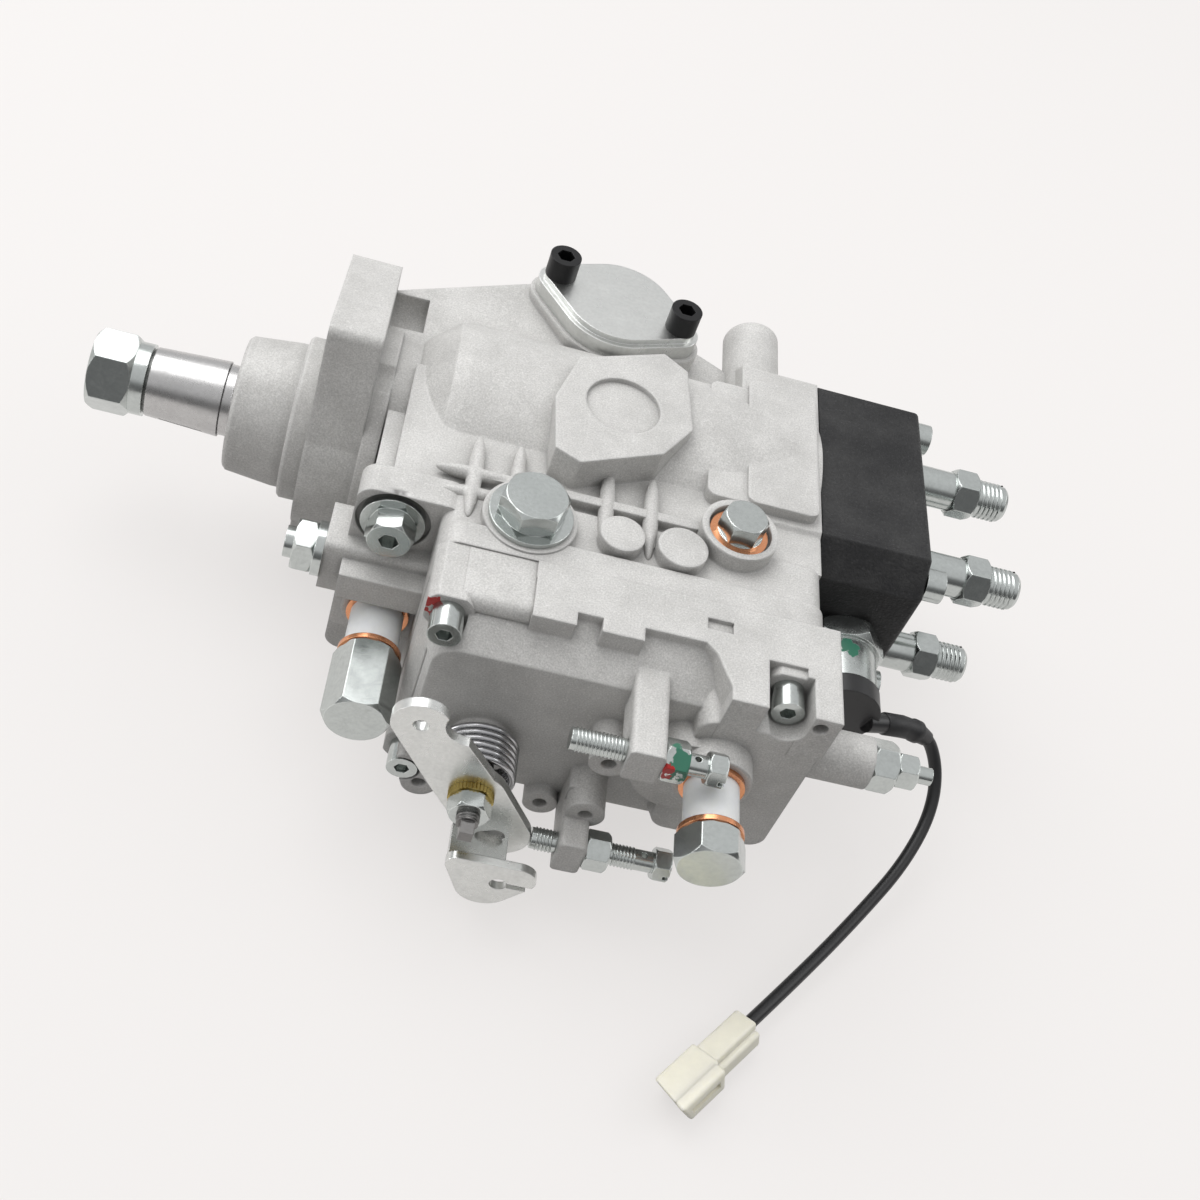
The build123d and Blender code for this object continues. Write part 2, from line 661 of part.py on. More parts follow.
def start_lever():
    """The flat lever that the sleeve pushes, with the ball pin that moves the control sleeve."""
    face_x = sleeve_x + sleeve_len + 0.3
    width = 8.0
    plate = along_x(slab(governor_y - 9, lever_pivot_y - 5, -width / 2 + 3, width / 2 + 3, 3), face_x, face_x + 1.6)
    hub = along_z(ring(lever_pivot_x, lever_pivot_y, 4.0, lever_pin_r + run), -3, 7)
    cheek = along_z(slab(face_x, lever_pivot_x - 2, lever_pivot_y - 9, lever_pivot_y + 2), -1, 7)
    arm = along_z(slab(lever_pivot_x - 2, lever_pivot_x + 2, lever_pivot_y + 3, -control_sleeve_r - 3, 1), -2.5, 2.5)
    ball = Pos(control_sleeve_mid, -control_sleeve_r + 0.8, 0) * Sphere(ball_r)
    pin = along_y(disc(control_sleeve_mid, 0, 1.6), -control_sleeve_r + 1, lever_pivot_y + 12)
    return plate + hub + (cheek - along_z(disc(lever_pivot_x, lever_pivot_y, 3.5), -3, 8)) + arm + ball + pin


def tension_lever():
    """The longer lever behind the start lever, with the hook for the governor spring."""
    face_x = sleeve_x + sleeve_len + 0.3 + 1.6 + 0.4
    upright = along_x(slab(governor_spring_y - 4, lever_pivot_y - 9.6, throttle_z - 4, 5, 3), face_x, face_x + 2)
    upright -= along_x(disc(governor_spring_y, throttle_z, 2.2), face_x, face_x + 2)
    hub = along_z(ring(lever_pivot_x, lever_pivot_y, 4.0, lever_pin_r + run), -8, -3.4)
    foot = along_z(slab(face_x, lever_pivot_x - 1, lever_pivot_y - 12, lever_pivot_y), -8, -3.4)
    return upright + hub + (foot - along_z(disc(lever_pivot_x, lever_pivot_y, 3.6), -9, -3))


def correction_lever():
    """The fixed fork between the pivot plugs that carries the levers' pin and meets the full-load screw."""
    shape = hull_of((pivot_plug_x, pivot_plug_y, 6.0), (lever_pivot_x, lever_pivot_y, 5.0))
    cheeks = [along_z(shape, side * 13, side * 16) for side in (-1, 1)]
    pin = along_z(disc(lever_pivot_x, lever_pivot_y, lever_pin_r), -16, 16)
    top = along_z(slab(pivot_plug_x + 1, pivot_plug_x + 6, full_load_y - 4, pivot_plug_y, 1), 13, 16)
    pad = along_z(slab(pivot_plug_x + 3, pivot_plug_x + 6, full_load_y - 4, full_load_y + 5, 1), full_load_z - 5, 16)
    bridge = along_z(slab(pivot_plug_x + 3, pivot_plug_x + 6, pivot_plug_y - 5, pivot_plug_y + 2), -16, 16)
    body = fused(*cheeks, pin, top, pad, bridge)
    for side in (-1, 1):
        body -= along_z(disc(pivot_plug_x, pivot_plug_y, pivot_pin_r + run), side * 12, side * 17)
    return body


def hull_of(*circles):
    return make_hull(Sketch(children=[disc(x, y, r) for x, y, r in circles]).edges())


def pivot_plugs():
    """The two plugs whose ends carry the correction lever, one on each side."""
    solids = []
    for side in (1, -1):
        seat = boss_top_z - 2 if side == 1 else deck_seat_z
        pin = along_z(disc(pivot_plug_x, pivot_plug_y, pivot_pin_r), side * 13, side * 24)
        stem = along_z(disc(pivot_plug_x, pivot_plug_y, pivot_plug_r), side * 22, side * (seat + washer_thick))
        collar = along_z(disc(pivot_plug_x, pivot_plug_y, pivot_plug_af * 0.56), side * (seat + washer_thick),
                         side * (seat + washer_thick + 1))
        head = hex_body(along_z, pivot_plug_x, pivot_plug_y, pivot_plug_af, side * (seat + washer_thick),
                        side * (seat + washer_thick + 7))
        solids.append(fused(pin, stem, collar, head))
    return solids


def governor_spring():
    """The spring from the throttle shaft's pin to the tension lever."""
    start = throttle_x + eccentric_r + 3.4
    end = sleeve_x + sleeve_len + 0.3 + 1.6
    return along_x(ring(governor_spring_y, throttle_z, 4.2, 3.0), start, end)


# ---- Cam drive and plunger -------------------------------------------------------------------------------------------------------------
def cross_disc():
    """The loose disc between the shaft's claws and the cam disc's claws."""
    body = Circle(claw_out_r) - Circle(4)
    for turn in range(0, 360, 90):
        body -= Rot(0, 0, turn) * slab(6.4, claw_out_r + 1, -claw_width / 2 - 0.15, claw_width / 2 + 0.15)
    return along_x(body, ring_x - 1, ring_x + 5)


def roller_ring():
    """The ring that carries the rollers on its pins and is turned by the timing piston's pin."""
    body = along_x(ring(0, 0, ring_r, ring_bore_r), ring_x, ring_end_x)
    middle = (ring_r + ring_bore_r) / 2
    half = roller_len / 2 + 0.3
    for n in range(roller_count):
        turn = Rot(0, 0, n * 360 / roller_count + 45)
        pocket = turn * slab(middle - half, middle + half, -roller_r - gap, roller_r + gap)
        body -= along_x(pocket, roller_x - roller_r - gap, ring_end_x)
    ring_pin = along_y(disc(timer_x, 0, timer_pin_r), timer_y + 3, ring_r - 8)
    return fused(body, ring_pin, *roller_pins())


def cam_rollers():
    middle = (ring_r + ring_bore_r) / 2
    roller = along_y(ring(roller_x, 0, roller_r, roller_pin_r + run), middle + roller_len / 2, middle - roller_len / 2)
    return [Rot(n * 360 / roller_count + 45, 0, 0) * roller for n in range(roller_count)]


def roller_pins():
    pin = along_y(disc(roller_x, 0, roller_pin_r), ring_r - 0.5, ring_bore_r + 0.5)
    return [Rot(n * 360 / roller_count + 45, 0, 0) * pin for n in range(roller_count)]


def cam_disc():
    """The face cam: one lobe for each cylinder, driving claws in front and a pin for the plunger behind."""
    body = along_x(Circle(cam_r), cam_x, cam_end_x) + claws(ring_x, cam_x, 90)
    lobe = make_face(Polyline((-10, cam_x + 0.5), (-10, cam_x), (-4, cam_x - lobe_lift), (4, cam_x - lobe_lift),
                              (10, cam_x), (10, cam_x + 0.5), close=True))
    inner = (ring_r + ring_bore_r) / 2 - roller_len / 2
    lobe = extrude(Plane(origin=(0, inner, 0), x_dir=(0, 0, 1), z_dir=(0, 1, 0)) * lobe, roller_len)
    lobes = [Rot(n * 360 / roller_count, 0, 0) * lobe for n in range(roller_count)]
    pin = along_x(disc(7.5, 0, 1.5), cam_end_x - 1, spring_seat_x - 0.5)
    return fused(body, *lobes, pin)


def plunger():
    """The distributor plunger with its slotted foot, cut-off groove and outlet slot."""
    body = turned([(plunger_foot_x, 0), (plunger_foot_x, plunger_foot_r), (spring_seat_x, plunger_foot_r),
                   (spring_seat_x, plunger_r), (plunger_end_x, plunger_r), (plunger_end_x, 0)])
    body -= along_x(slab(5.5, plunger_foot_r + 1, -1.6, 1.6), plunger_foot_x, spring_seat_x)
    body -= along_x(disc(0, 0, 1.5), control_sleeve_x + 3, plunger_end_x)
    return body - along_x(slab(plunger_r - 1, plunger_r + 1, -1, 1), plunger_end_x - 12, plunger_end_x - 4)


def spring_seat():
    """The bridge that the plunger springs push on."""
    shape = hull_of((plunger_spring_z, 0, 7.0), (-plunger_spring_z, 0, 7.0), (0, 0, 12.0))
    shape = Rot(0, 0, 90) * (shape - Circle(plunger_r + gap))
    for side in (-1, 1):
        shape -= disc(0, side * plunger_spring_z, guide_pin_r + gap)
    return along_x(shape, spring_seat_x + 0.1, spring_seat_x + 0.1 + spring_seat_thick)


def plunger_springs():
    start, end = spring_seat_x + 0.1 + spring_seat_thick, head_x - head_spigot_len
    outer = plunger_spring_r + plunger_spring_wire / 2
    return [along_x(ring(0, side * plunger_spring_z, outer, outer - 1.2), start, end) for side in (-1, 1)]


def control_sleeve():
    """The sleeve on the plunger that ends the delivery, with the slot for the lever's ball."""
    body = along_x(ring(0, 0, control_sleeve_r, plunger_r + run), control_sleeve_x, control_sleeve_end)
    pocket = slab(control_sleeve_mid - ball_r - 0.1, control_sleeve_mid + ball_r + 0.1, -4, 4)
    return body - along_y(pocket, -control_sleeve_r + 3.9, -control_sleeve_r - 1)


# ---- Timing device ---------------------------------------------------------------------------------------------------------------------
def timer_piston():
    body = along_z(disc(timer_x, timer_y, timer_piston_r), -timer_piston_half - 2, timer_piston_half - 3)
    body -= along_z(disc(timer_x, timer_y, timer_piston_r - 2.5), 8, timer_piston_half)
    return body - along_y(disc(timer_x, 0, timer_pin_r + 1.4), timer_y + 5, timer_y - timer_piston_r - 1)


def timer_spring():
    end = timer_pad_z
    return along_z(ring(timer_x, timer_y, timer_piston_r - 3, timer_piston_r - 4.5), 8, end)


def timer_covers():
    """The two rhombic cover plates with their stepped edge."""
    plates = []
    for side in (-1, 1):
        low = along_z(timer_outline(), side * timer_pad_z, side * (timer_pad_z + timer_cover_thick - 2))
        high = along_z(timer_outline(-1.6), side * (timer_pad_z + 1), side * (timer_pad_z + timer_cover_thick))
        plate = low + high
        for x, y in timer_screw_places:
            plate -= along_z(disc(x, y, head_bolt_r + hole_gap), side * timer_pad_z, side * 50)
        plates.append(plate)
    return plates


def socket_screw(make, a, b, radius, seat, reach, head_r, head_len, socket_af, out=1):
    """A cap screw whose head stands out from its seat; out is the sign of that direction."""
    shank = make(disc(a, b, radius), seat - out * reach, seat + out)
    head = make(disc(a, b, head_r), seat, seat + out * head_len)
    socket = make(hexagon(a, b, socket_af), seat + out * head_len / 2, seat + out * head_len)
    return shank + head - socket


def timer_screws():
    seat = timer_pad_z + timer_cover_thick
    return [socket_screw(along_z, x, y, head_bolt_r, side * seat, timer_cover_thick + 9, 5.0, 7.5, 5.0, side)
            for x, y in timer_screw_places for side in (-1, 1)]


# ---- Distributor head ----------------------------------------------------------------------------------------------------------------------
def distributor_head():
    block = along_x(head_outline(), head_x, head_end_x)
    block = fillet(block.faces().sort_by(Axis.X)[-1].edges(), 2.0)
    spigot = along_x(Circle(head_spigot_r), head_x - head_spigot_len, head_x + 1)
    guides = [along_x(disc(0, side * plunger_spring_z, guide_pin_r), spring_seat_x + 0.5, head_x) for side in (-1, 1)]
    body = fused(block, spigot, *guides)
    pad = along_y(disc(solenoid_x, solenoid_z, solenoid_af / 2 + 1), 0, solenoid_seat_y)
    body += pad
    body -= along_x(Circle(plunger_r + run), head_x - head_spigot_len, plunger_end_x + 3)
    body -= along_x(Circle(solenoid_thread_r + thread_gap), plunger_end_x + 2, head_end_x)
    body -= along_y(disc(solenoid_x, solenoid_z, solenoid_thread_r + thread_gap), -16, solenoid_seat_y)
    body -= along_y(disc(solenoid_x, solenoid_z, 2.5), -4, -17)
    for y, z in outlet_places:
        body -= along_x(disc(y, z, outlet_thread_r + thread_gap), outlet_seat_x, head_end_x)
        body -= along_x(disc(y, z, 1.5), outlet_seat_x - 8, outlet_seat_x)
    for y, z in head_bolt_places:
        body -= along_x(disc(y, z, head_bolt_r + hole_gap), head_x, head_end_x)
    return body


def head_bolts():
    return [socket_screw(along_x, y, z, head_bolt_r, head_end_x, head_len + 12, 5.0, 6.0, 5.0)
            for y, z in head_bolt_places]


def centre_plug():
    """The plug over the plunger's end, with its small bleed screw."""
    thread = along_x(Circle(solenoid_thread_r), plunger_end_x + 2.5, head_end_x + 1)
    collar = along_x(Circle(centre_plug_r), head_end_x, head_end_x + 2)
    return fused(thread, collar, hex_body(along_x, 0, 0, 19.0, head_end_x + 2, head_end_x + 8),
                 hex_body(along_x, 0, 0, 10.0, head_end_x + 7, head_end_x + 13))


def delivery_holder():
    """One outlet on the X axis: barrel, hexagon, threaded end with the pipe's cone."""
    barrel_end = head_end_x + 15.5
    hex_end = barrel_end + 8
    outline = turned([(outlet_seat_x, valve_r + run), (outlet_seat_x, outlet_thread_r), (head_end_x, outlet_thread_r),
                      (head_end_x, 7.5), (head_end_x + 2.5, 7.5), (head_end_x + 3.5, 6.3), (barrel_end, 6.3),
                      (barrel_end, 5.8), (outlet_end_x - 1, 5.8), (outlet_end_x, 5.0), (outlet_end_x, 3.6),
                      (outlet_end_x - 5, 1.2), (valve_room_end, 1.2), (valve_room_end, valve_r + run)])
    nut = hex_body(along_x, 0, 0, outlet_af, barrel_end, hex_end) - along_x(Circle(5.0), barrel_end, hex_end)
    return outline + nut


def delivery_holders():
    return [Pos(0, y, z) * delivery_holder() for y, z in outlet_places]


def delivery_valve(n):
    """A delivery valve: a cone, a fluted guide and the relief collar, before its spring."""
    y, z = outlet_places[n]
    body = turned([(outlet_seat_x + 0.3, 0), (outlet_seat_x + 0.3, 1.2), (outlet_seat_x + 1.2, valve_r),
                   (outlet_seat_x + 4, valve_r), (outlet_seat_x + 4, 2.4), (outlet_seat_x + 6, 2.4),
                   (outlet_seat_x + 6, valve_r), (valve_end_x, valve_r), (valve_end_x, 0)])
    return Pos(0, y, z) * body


# ---- Governor cover --------------------------------------------------------------------------------------------------------------------------
def at_depth(y, sketch):
    """An (X, Z) sketch placed on the plane Y = y, for lofts towards -Y."""
    return Plane.XZ.offset(-y) * sketch


def cover_screw_holes(radius, top):
    return fused(*[along_y(disc(x, z, radius), deck_y, top) for x, z in cover_screw_places])


def cover_shell():
    """The cover's tapering bell, with the higher part at its rear."""
    front, rear = cover_x, cover_end_x
    base = at_depth(cover_base_y, slab(front, rear, -side_face, side_face, 6))
    waist = at_depth(cover_base_y - cover_side_high, slab(front + 0.5, rear, 1 - side_face, side_face - 0.5, 6.5))
    top = at_depth(cover_top_y, slab(front + 5, rear, -26, 26, 7))
    low = at_depth(cover_top_y + 7, slab(cover_rear_x, rear, -30, 30, 5))
    high = at_depth(cover_rear_y, slab(cover_rear_x + 2, rear - 1, -25, 27, 5))
    return fused(loft([base, waist]), loft([waist, top]), loft([low, high]))


def cover_hollow():
    front, rear = cover_x + cover_wall, cover_end_x - cover_wall - 3
    base = at_depth(cover_base_y, slab(front, rear, -31.5, 31.5, 4))
    waist = at_depth(cover_top_y + 9, slab(front + 1, rear, -26.5, 26.5, 4))
    top = at_depth(cover_top_y + cover_wall, slab(front + 3, rear, -23, 23, 4))
    high = along_y(slab(cover_rear_x + cover_wall + 2, rear, -20, 22, 3), cover_top_y + 8, cover_rear_y + cover_wall)
    shape = fused(loft([base, waist]), loft([waist, top]), high)
    columns = fused(*[along_y(disc(x, z, 7.0), deck_y, cover_rear_y) for x, z in cover_screw_places])
    return shape - columns


def cover_ribs():
    """The band and the row of notched blocks along the cover's +Z side."""
    edge = rib_z
    band = along_y(slab(cover_x + 27, cover_end_x, 26, edge), cover_base_y, cover_base_y - 6.2)
    low, step, tall = cover_top_y + 12, cover_top_y + 7.5, cover_top_y - 5.2
    blocks = [(68.7, 80.5, step), (80.5, 87.5, low), (87.5, 98.9, step), (98.9, 116, low), (123.3, 133.4, tall),
              (133.4, 144.4, low - 1), (144.4, cover_end_x, tall)]
    solids = [along_y(slab(a, b, 20, edge), cover_base_y - 4, top) for a, b, top in blocks]
    ramp = make_face(Polyline((115.9, low + 5), (115.9, low), (119, low - 3), (123.4, tall + 4), (123.4, low + 5),
                              close=True))
    solids.append(along_z(ramp, 20, edge))
    return fused(band, *solids)


def cover_lugs():
    """The lugs of the two stop screws and the tapped bosses on the cover's top."""
    root = cover_top_y + 9
    upper = along_y(slab(99.3, 109, max_stop_z - 6, max_stop_z + 6, 1.5), root, stop_y - 4.5)
    lower = along_y(slab(93, 101, idle_stop_z - 6.5, idle_stop_z + 6.5, 1.5), root, stop_y - 4.5)
    bosses = [(x, z, 5.5, top) for x, z, top in bracket_holes]
    bosses += [(throttle_x, throttle_z, throttle_boss_r, cover_top_y - 4), (88, -29, 5.0, cover_top_y - 3),
               (outlet_x, outlet_z, banjo_washer_r + 2, outlet_y), (outlet_x - 6, outlet_z - 6, 15, outlet_y + 4.5)]
    solids = [along_y(disc(x, z, r), root, top) for x, z, r, top in bosses]
    ear = extrude(at_depth(cover_top_y + 13, hull_of((50, -28, 5), (60, -28, 5), (53.5, -37, 5))), 13)
    link = along_y(slab(93, 101, idle_stop_z, -12, 1), root, cover_top_y - 7)
    full_boss = along_x(disc(full_load_y, full_load_z, 7.5), cover_end_x - 8, 171)
    return fused(upper, lower, link, *solids, ear, full_boss)


def governor_cover():
    body = fused(cover_shell(), cover_ribs())
    rim = along_y(slab(cover_x, cover_end_x, -rib_z, side_face, 6), cover_base_y, cover_base_y - 4)
    columns = [along_y(disc(x, z, 7.0) & slab(cover_x, cover_end_x + 2, -rib_z, side_face), cover_base_y, cover_seat_y)
               for x, z in cover_screw_places]
    body = fused(body, rim, *columns, cover_lugs())
    for x, z in cover_screw_places:
        body -= along_y(disc(x, z, cover_screw_head_r + 0.8), cover_seat_y, stop_y)
        if z > 0:
            near = x - 12 if x == cover_screw_x[0] else x - 5.3
            body -= along_y(slab(near, x + 5.3, z, z + 12), cover_seat_y, stop_y)
    body -= cover_hollow()
    body -= cover_screw_holes(cover_screw_r + hole_gap, cover_seat_y)
    body -= along_y(disc(throttle_x, throttle_z, throttle_r + run), cover_top_y + 13, cover_top_y - 5)
    body -= along_y(disc(outlet_x, outlet_z, banjo_thread_r + thread_gap), cover_top_y + 7, outlet_y)
    body -= along_y(slab(cam_bore_x, 150, -18, 18), cover_top_y + 17, cover_top_y + cover_wall)
    body -= along_x(disc(stop_y, max_stop_z, stop_screw_r + thread_gap), 95, 112)
    body -= along_x(disc(stop_y, idle_stop_z, stop_screw_r + thread_gap), 90, 105)
    body -= along_x(disc(full_load_y, full_load_z, full_load_r + thread_gap), cover_end_x - 12, 172)
    tapped = [(x, z, top, 10) for x, z, top in bracket_holes]
    tapped += [(53.5, -36, cover_top_y, 8), (88, -29, cover_top_y - 3, 7), (149, 34, cover_top_y - 5.2, 9)]
    for x, z, top, depth in tapped:
        body -= along_y(disc(x, z, tapped_r), top + depth, top)
    return body


def cover_screws():
    return [socket_screw(along_y, x, z, cover_screw_r, cover_seat_y, cover_seat_y * -1 - 57.5, cover_screw_head_r,
                         cover_screw_head_len, 4.0, -1) for x, z in cover_screw_places]


# ---- Throttle ----------------------------------------------------------------------------------------------------------------------------------
def throttle_shaft():
    """The throttle shaft with its eccentric pin inside and its threaded, squared end outside."""
    x, z = throttle_x, throttle_z
    crank_y = cover_top_y + 10
    half = stud_r * 0.64
    body = along_y(disc(x, z, throttle_r), crank_y, lever_y - lever_thick)
    crank = along_y(hull_of((x, z, throttle_r + 0.8), (x + eccentric_r, z, 3.0)), crank_y, crank_y - 3)
    pin = along_y(disc(x + eccentric_r, z, eccentric_pin_r), governor_spring_y + 4, crank_y - 1)
    stud = along_y(disc(x, z, stud_r), lever_y + 1.5, lever_y - 12.5)
    square = along_y(slab(x - half, x + half, z - half, z + half), lever_y - 11.5, lever_y - 16.5)
    return fused(body, crank, pin, stud, square)


def throttle_lever():
    """The flat lever with its notched edge, oval hole and bent lower bracket."""
    x, z = throttle_x, throttle_z
    arm = hull_of((*rod_hole, 8.0), (x - 2, z + 2, 9.0))
    lobe = hull_of((x, z, 9.5), (76.5, -24.5, 9.1))
    shape = arm + lobe
    shape -= disc(60, 20, 7.0)
    shape -= disc(*rod_hole, rod_hole_r)
    shape -= hull_of((73, -26.5, 2.6), (76, -25, 2.6))
    plate = along_y(shape, lever_y, lever_y - lever_thick)
    web = along_y(slab(64, 80, -29.5, -26.5), lever_y, bracket_y)
    hook = hull_of((67, -27, 3.5), (84, -29, 5.5), (76, -36, 8.0)) - disc(79.6, -32.5, 2.6)
    hook -= slab(79.6, 92, -33.6, -31.4)
    bracket = along_y(hook, bracket_y, bracket_y - bracket_thick)
    return fused(plate, web, bracket) - along_y(disc(x, z, throttle_r), lever_y + 1, lever_y - lever_thick - 1)


def throttle_washer():
    start = lever_y - lever_thick
    return along_y(ring(throttle_x, throttle_z, throttle_washer_r, stud_r + hole_gap), start,
                   start - throttle_washer_thick)


def throttle_nut():
    start = lever_y - lever_thick - throttle_washer_thick
    nut = hex_body(along_y, throttle_x, throttle_z, throttle_nut_af, start, start - 5)
    return nut - along_y(disc(throttle_x, throttle_z, stud_r + thread_gap), start, start - 5)


def throttle_spring():
    """The return spring that is coiled round the throttle's boss."""
    outer = spring_coil_r
    first = cover_top_y - 2.5
    pitch = spring_wire + 0.2
    coil = ring(throttle_x, throttle_z, outer, outer - spring_wire)
    coils = [along_y(coil, first - n * pitch, first - n * pitch - spring_wire + 0.1) for n in range(spring_turns)]
    tie = along_y(disc(throttle_x, throttle_z - outer + 1, 0.9), first, first - spring_turns * pitch + 0.2)
    return fused(tie, *coils)


# ---- Stop screws -----------------------------------------------------------------------------------------------------------------------------------
def lock_nut(y, z, across_flats, radius, start, end):
    nut = hex_body(along_x, y, z, across_flats, start, end, 30)
    return nut - along_x(disc(y, z, radius + thread_gap), start, end)


def lock_nuts():
    return [lock_nut(stop_y, max_stop_z, stop_nut_af, stop_screw_r, 109, 115.5),
            lock_nut(stop_y, idle_stop_z, stop_nut_af, stop_screw_r, 101, 108),
            lock_nut(full_load_y, full_load_z, 13.0, full_load_r, 171, 178.5)]


def stop_screw(z, tip, head_start, head_end):
    """A stop screw along X with its slotted hexagon head and its sealing-wire hole."""
    head = hex_body(along_x, stop_y, z, 8.5, head_start, head_end, 15)
    head -= along_x(slab(stop_y - 6, stop_y + 6, z - 0.6, z + 0.6), head_end - 1.8, head_end)
    shank = along_x(disc(stop_y, z, stop_screw_r), tip, head_start + 0.5)
    shank -= along_z(disc(head_start - 3, stop_y, 0.9), z - 4, z + 4)
    return shank + head


def stop_screws():
    return [stop_screw(max_stop_z, 84.4, 121, 126), stop_screw(idle_stop_z, 85.7, 121, 126)]


def full_load_screw():
    """The full-load screw through the cover's rear boss, with its capped end."""
    shank = along_x(disc(full_load_y, full_load_z, full_load_r), full_tip_x, 180)
    cap = hex_body(along_x, full_load_y, full_load_z, 9.5, 179, 185, 10)
    tip = along_x(disc(full_load_y, full_load_z, 2.5), 184, 190)
    return fused(shank, cap, tip)


# ---- Fuel connections ---------------------------------------------------------------------------------------------------------------------------------
def banjo_stack(x, z, seat, head_len):
    """A banjo bolt's pieces, from its seat towards -Y: the bolt, two washers and the shipping sleeve."""
    first = seat - banjo_washer_thick
    sleeve_end = first - banjo_sleeve_len
    second = sleeve_end - banjo_washer_thick
    bolt = along_y(disc(x, z, banjo_thread_r), seat + 12, second - 1)
    bolt += hex_body(along_y, x, z, banjo_af, second, second - head_len)
    bolt -= along_y(disc(x, z, 3.5), seat + 12, sleeve_end + 3)
    washer = ring(x, z, banjo_washer_r, banjo_thread_r + hole_gap)
    washers = [along_y(washer, seat, first), along_y(washer, sleeve_end, second)]
    sleeve = along_y(ring(x, z, banjo_sleeve_r, banjo_thread_r + 0.5), first, sleeve_end)
    return bolt, washers, sleeve


# ---- Plugs ------------------------------------------------------------------------------------------------------------------------------------------------
def large_plug():
    x, y = large_plug_x, large_plug_y
    flanged = along_z(disc(x, y, large_plug_flange_r), boss_top_z - 1.5, boss_top_z)
    return fused(along_z(disc(x, y, large_plug_r), boss_top_z - 9, boss_top_z), flanged,
                 hex_body(along_z, x, y, large_plug_af, boss_top_z, boss_top_z + 7, 12))


def regulating_valve():
    """The pressure regulating valve in its counterbore: sleeve, hexagon and socket."""
    x, z = regulator_x, regulator_z
    body = along_y(disc(x, z, regulator_r), -36, front_deck_y)
    body += along_y(disc(x, z, 9.0), front_deck_y + 2, front_deck_y - 1)
    body += hex_body(along_y, x, z, 12.0, front_deck_y - 1, front_deck_y - 8, 10)
    body -= along_y(hexagon(x, z, 5.0), front_deck_y - 3, front_deck_y - 8)
    return body - along_y(disc(x, z, 3.5), -36, -50)


# ---- Stop solenoid and its lead ---------------------------------------------------------------------------------------------------------------------------
def stop_solenoid():
    x, z, seat = solenoid_x, solenoid_z, solenoid_seat_y
    body = along_y(disc(x, z, solenoid_thread_r), seat + 12, seat)
    body += hex_body(along_y, x, z, solenoid_af, seat, seat - 7.5, 10)
    body += along_y(disc(x, z, solenoid_r), seat - 7, seat - 22)
    return body - along_y(disc(x, z, 4.0 + run), seat + 12, seat - 13)


def solenoid_armature():
    x, z, seat = solenoid_x, solenoid_z, solenoid_seat_y
    body = along_y(disc(x, z, 4.0), seat + 11, seat - 9)
    return body + along_y(disc(x, z, 1.8), seat + 17, seat + 11)


def solenoid_cap():
    """The rubber cap over the terminal, with the spout that the lead leaves through."""
    x, z, seat = solenoid_x, solenoid_z, solenoid_seat_y
    body = along_y(disc(x, z, solenoid_r + 0.6), seat - 22, seat - 28.5)
    exit_point = Vector(*lead_route[0])
    way = (Vector(*lead_route[1]) - exit_point).normalized()
    return body + extrude(Plane(origin=exit_point - way * 7, z_dir=way) * Circle(3.0), 7)


def lead_bends():
    """The bend radius at each inner point of the lead's route, as large as its runs allow."""
    points = [Vector(*point) for point in lead_route]
    runs = [b - a for a, b in zip(points, points[1:])]
    return [0.45 * min(a.length, b.length) / tan(radians(a.get_angle(b)) / 2) for a, b in zip(runs, runs[1:])]


def stop_lead():
    path = FilletPolyline(*lead_route, radius=lead_bends())
    return sweep(Plane(origin=path @ 0, z_dir=path % 0) * Circle(lead_r), path=path)


def lead_connector():
    """The connector: its rear neck, and the wider front with its two terminal slots."""
    way = Vector(*lead_route[-1]) - Vector(*lead_route[-2])
    frame = Plane(origin=lead_route[-1], x_dir=(way.Y, -way.X, 0), z_dir=way)
    rear = extrude(frame * RectangleRounded(9.6, 8.5, 1.0), 13)
    front = extrude(frame.offset(12) * RectangleRounded(16, 12.5, 1.2), 16)
    slots = [extrude(frame.offset(20) * Pos(side * 3.6, 0) * Rectangle(3.4, 3.0), 12) for side in (-1, 1)]
    return rear + front - slots


def copper_washers():
    washers = inlet_washers + outlet_washers
    for side, seat in ((1, boss_top_z - 2), (-1, deck_seat_z)):
        washers.append(along_z(ring(pivot_plug_x, pivot_plug_y, 8.6, pivot_plug_r + hole_gap), side * seat,
                               side * (seat + washer_thick)))
    return washers


inlet_bolt, inlet_washers, inlet_sleeve = banjo_stack(inlet_x, inlet_z, inlet_y, inlet_head_len)
outlet_bolt, outlet_washers, outlet_sleeve = banjo_stack(outlet_x, outlet_z, outlet_y, outlet_head_len)

if __name__ == "__main__":
    os.makedirs("parts", exist_ok=True)
    makers = [
        pump_housing, drive_shaft, shaft_nut, shaft_spring_washer, shaft_bush, oil_seal,
        supply_liner, supply_rotor, supply_vanes, drive_gear, cross_disc, roller_ring, cam_rollers, cam_disc,
        plunger, spring_seat, plunger_springs, control_sleeve, flyweight_cage, flyweights, governor_shaft,
        governor_sleeve, start_lever, tension_lever, correction_lever, governor_spring, pivot_plugs,
        timer_piston, timer_spring, timer_covers, timer_screws, distributor_head, head_bolts, centre_plug,
        delivery_holders, governor_cover, cover_screws, throttle_shaft, throttle_lever, throttle_washer,
        throttle_nut, throttle_spring, stop_screws, full_load_screw, lock_nuts, copper_washers, large_plug,
        regulating_valve, stop_solenoid, solenoid_armature, solenoid_cap, stop_lead, lead_connector,
    ]
    for make in makers:
        save(make.__name__, make())
    for n in range(outlet_count):
        save(f"delivery_valve_{n + 1}", delivery_valve(n))
    save("banjo_bolts", [inlet_bolt, outlet_bolt])
    save("transport_sleeves", [inlet_sleeve, outlet_sleeve])
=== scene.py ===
import math

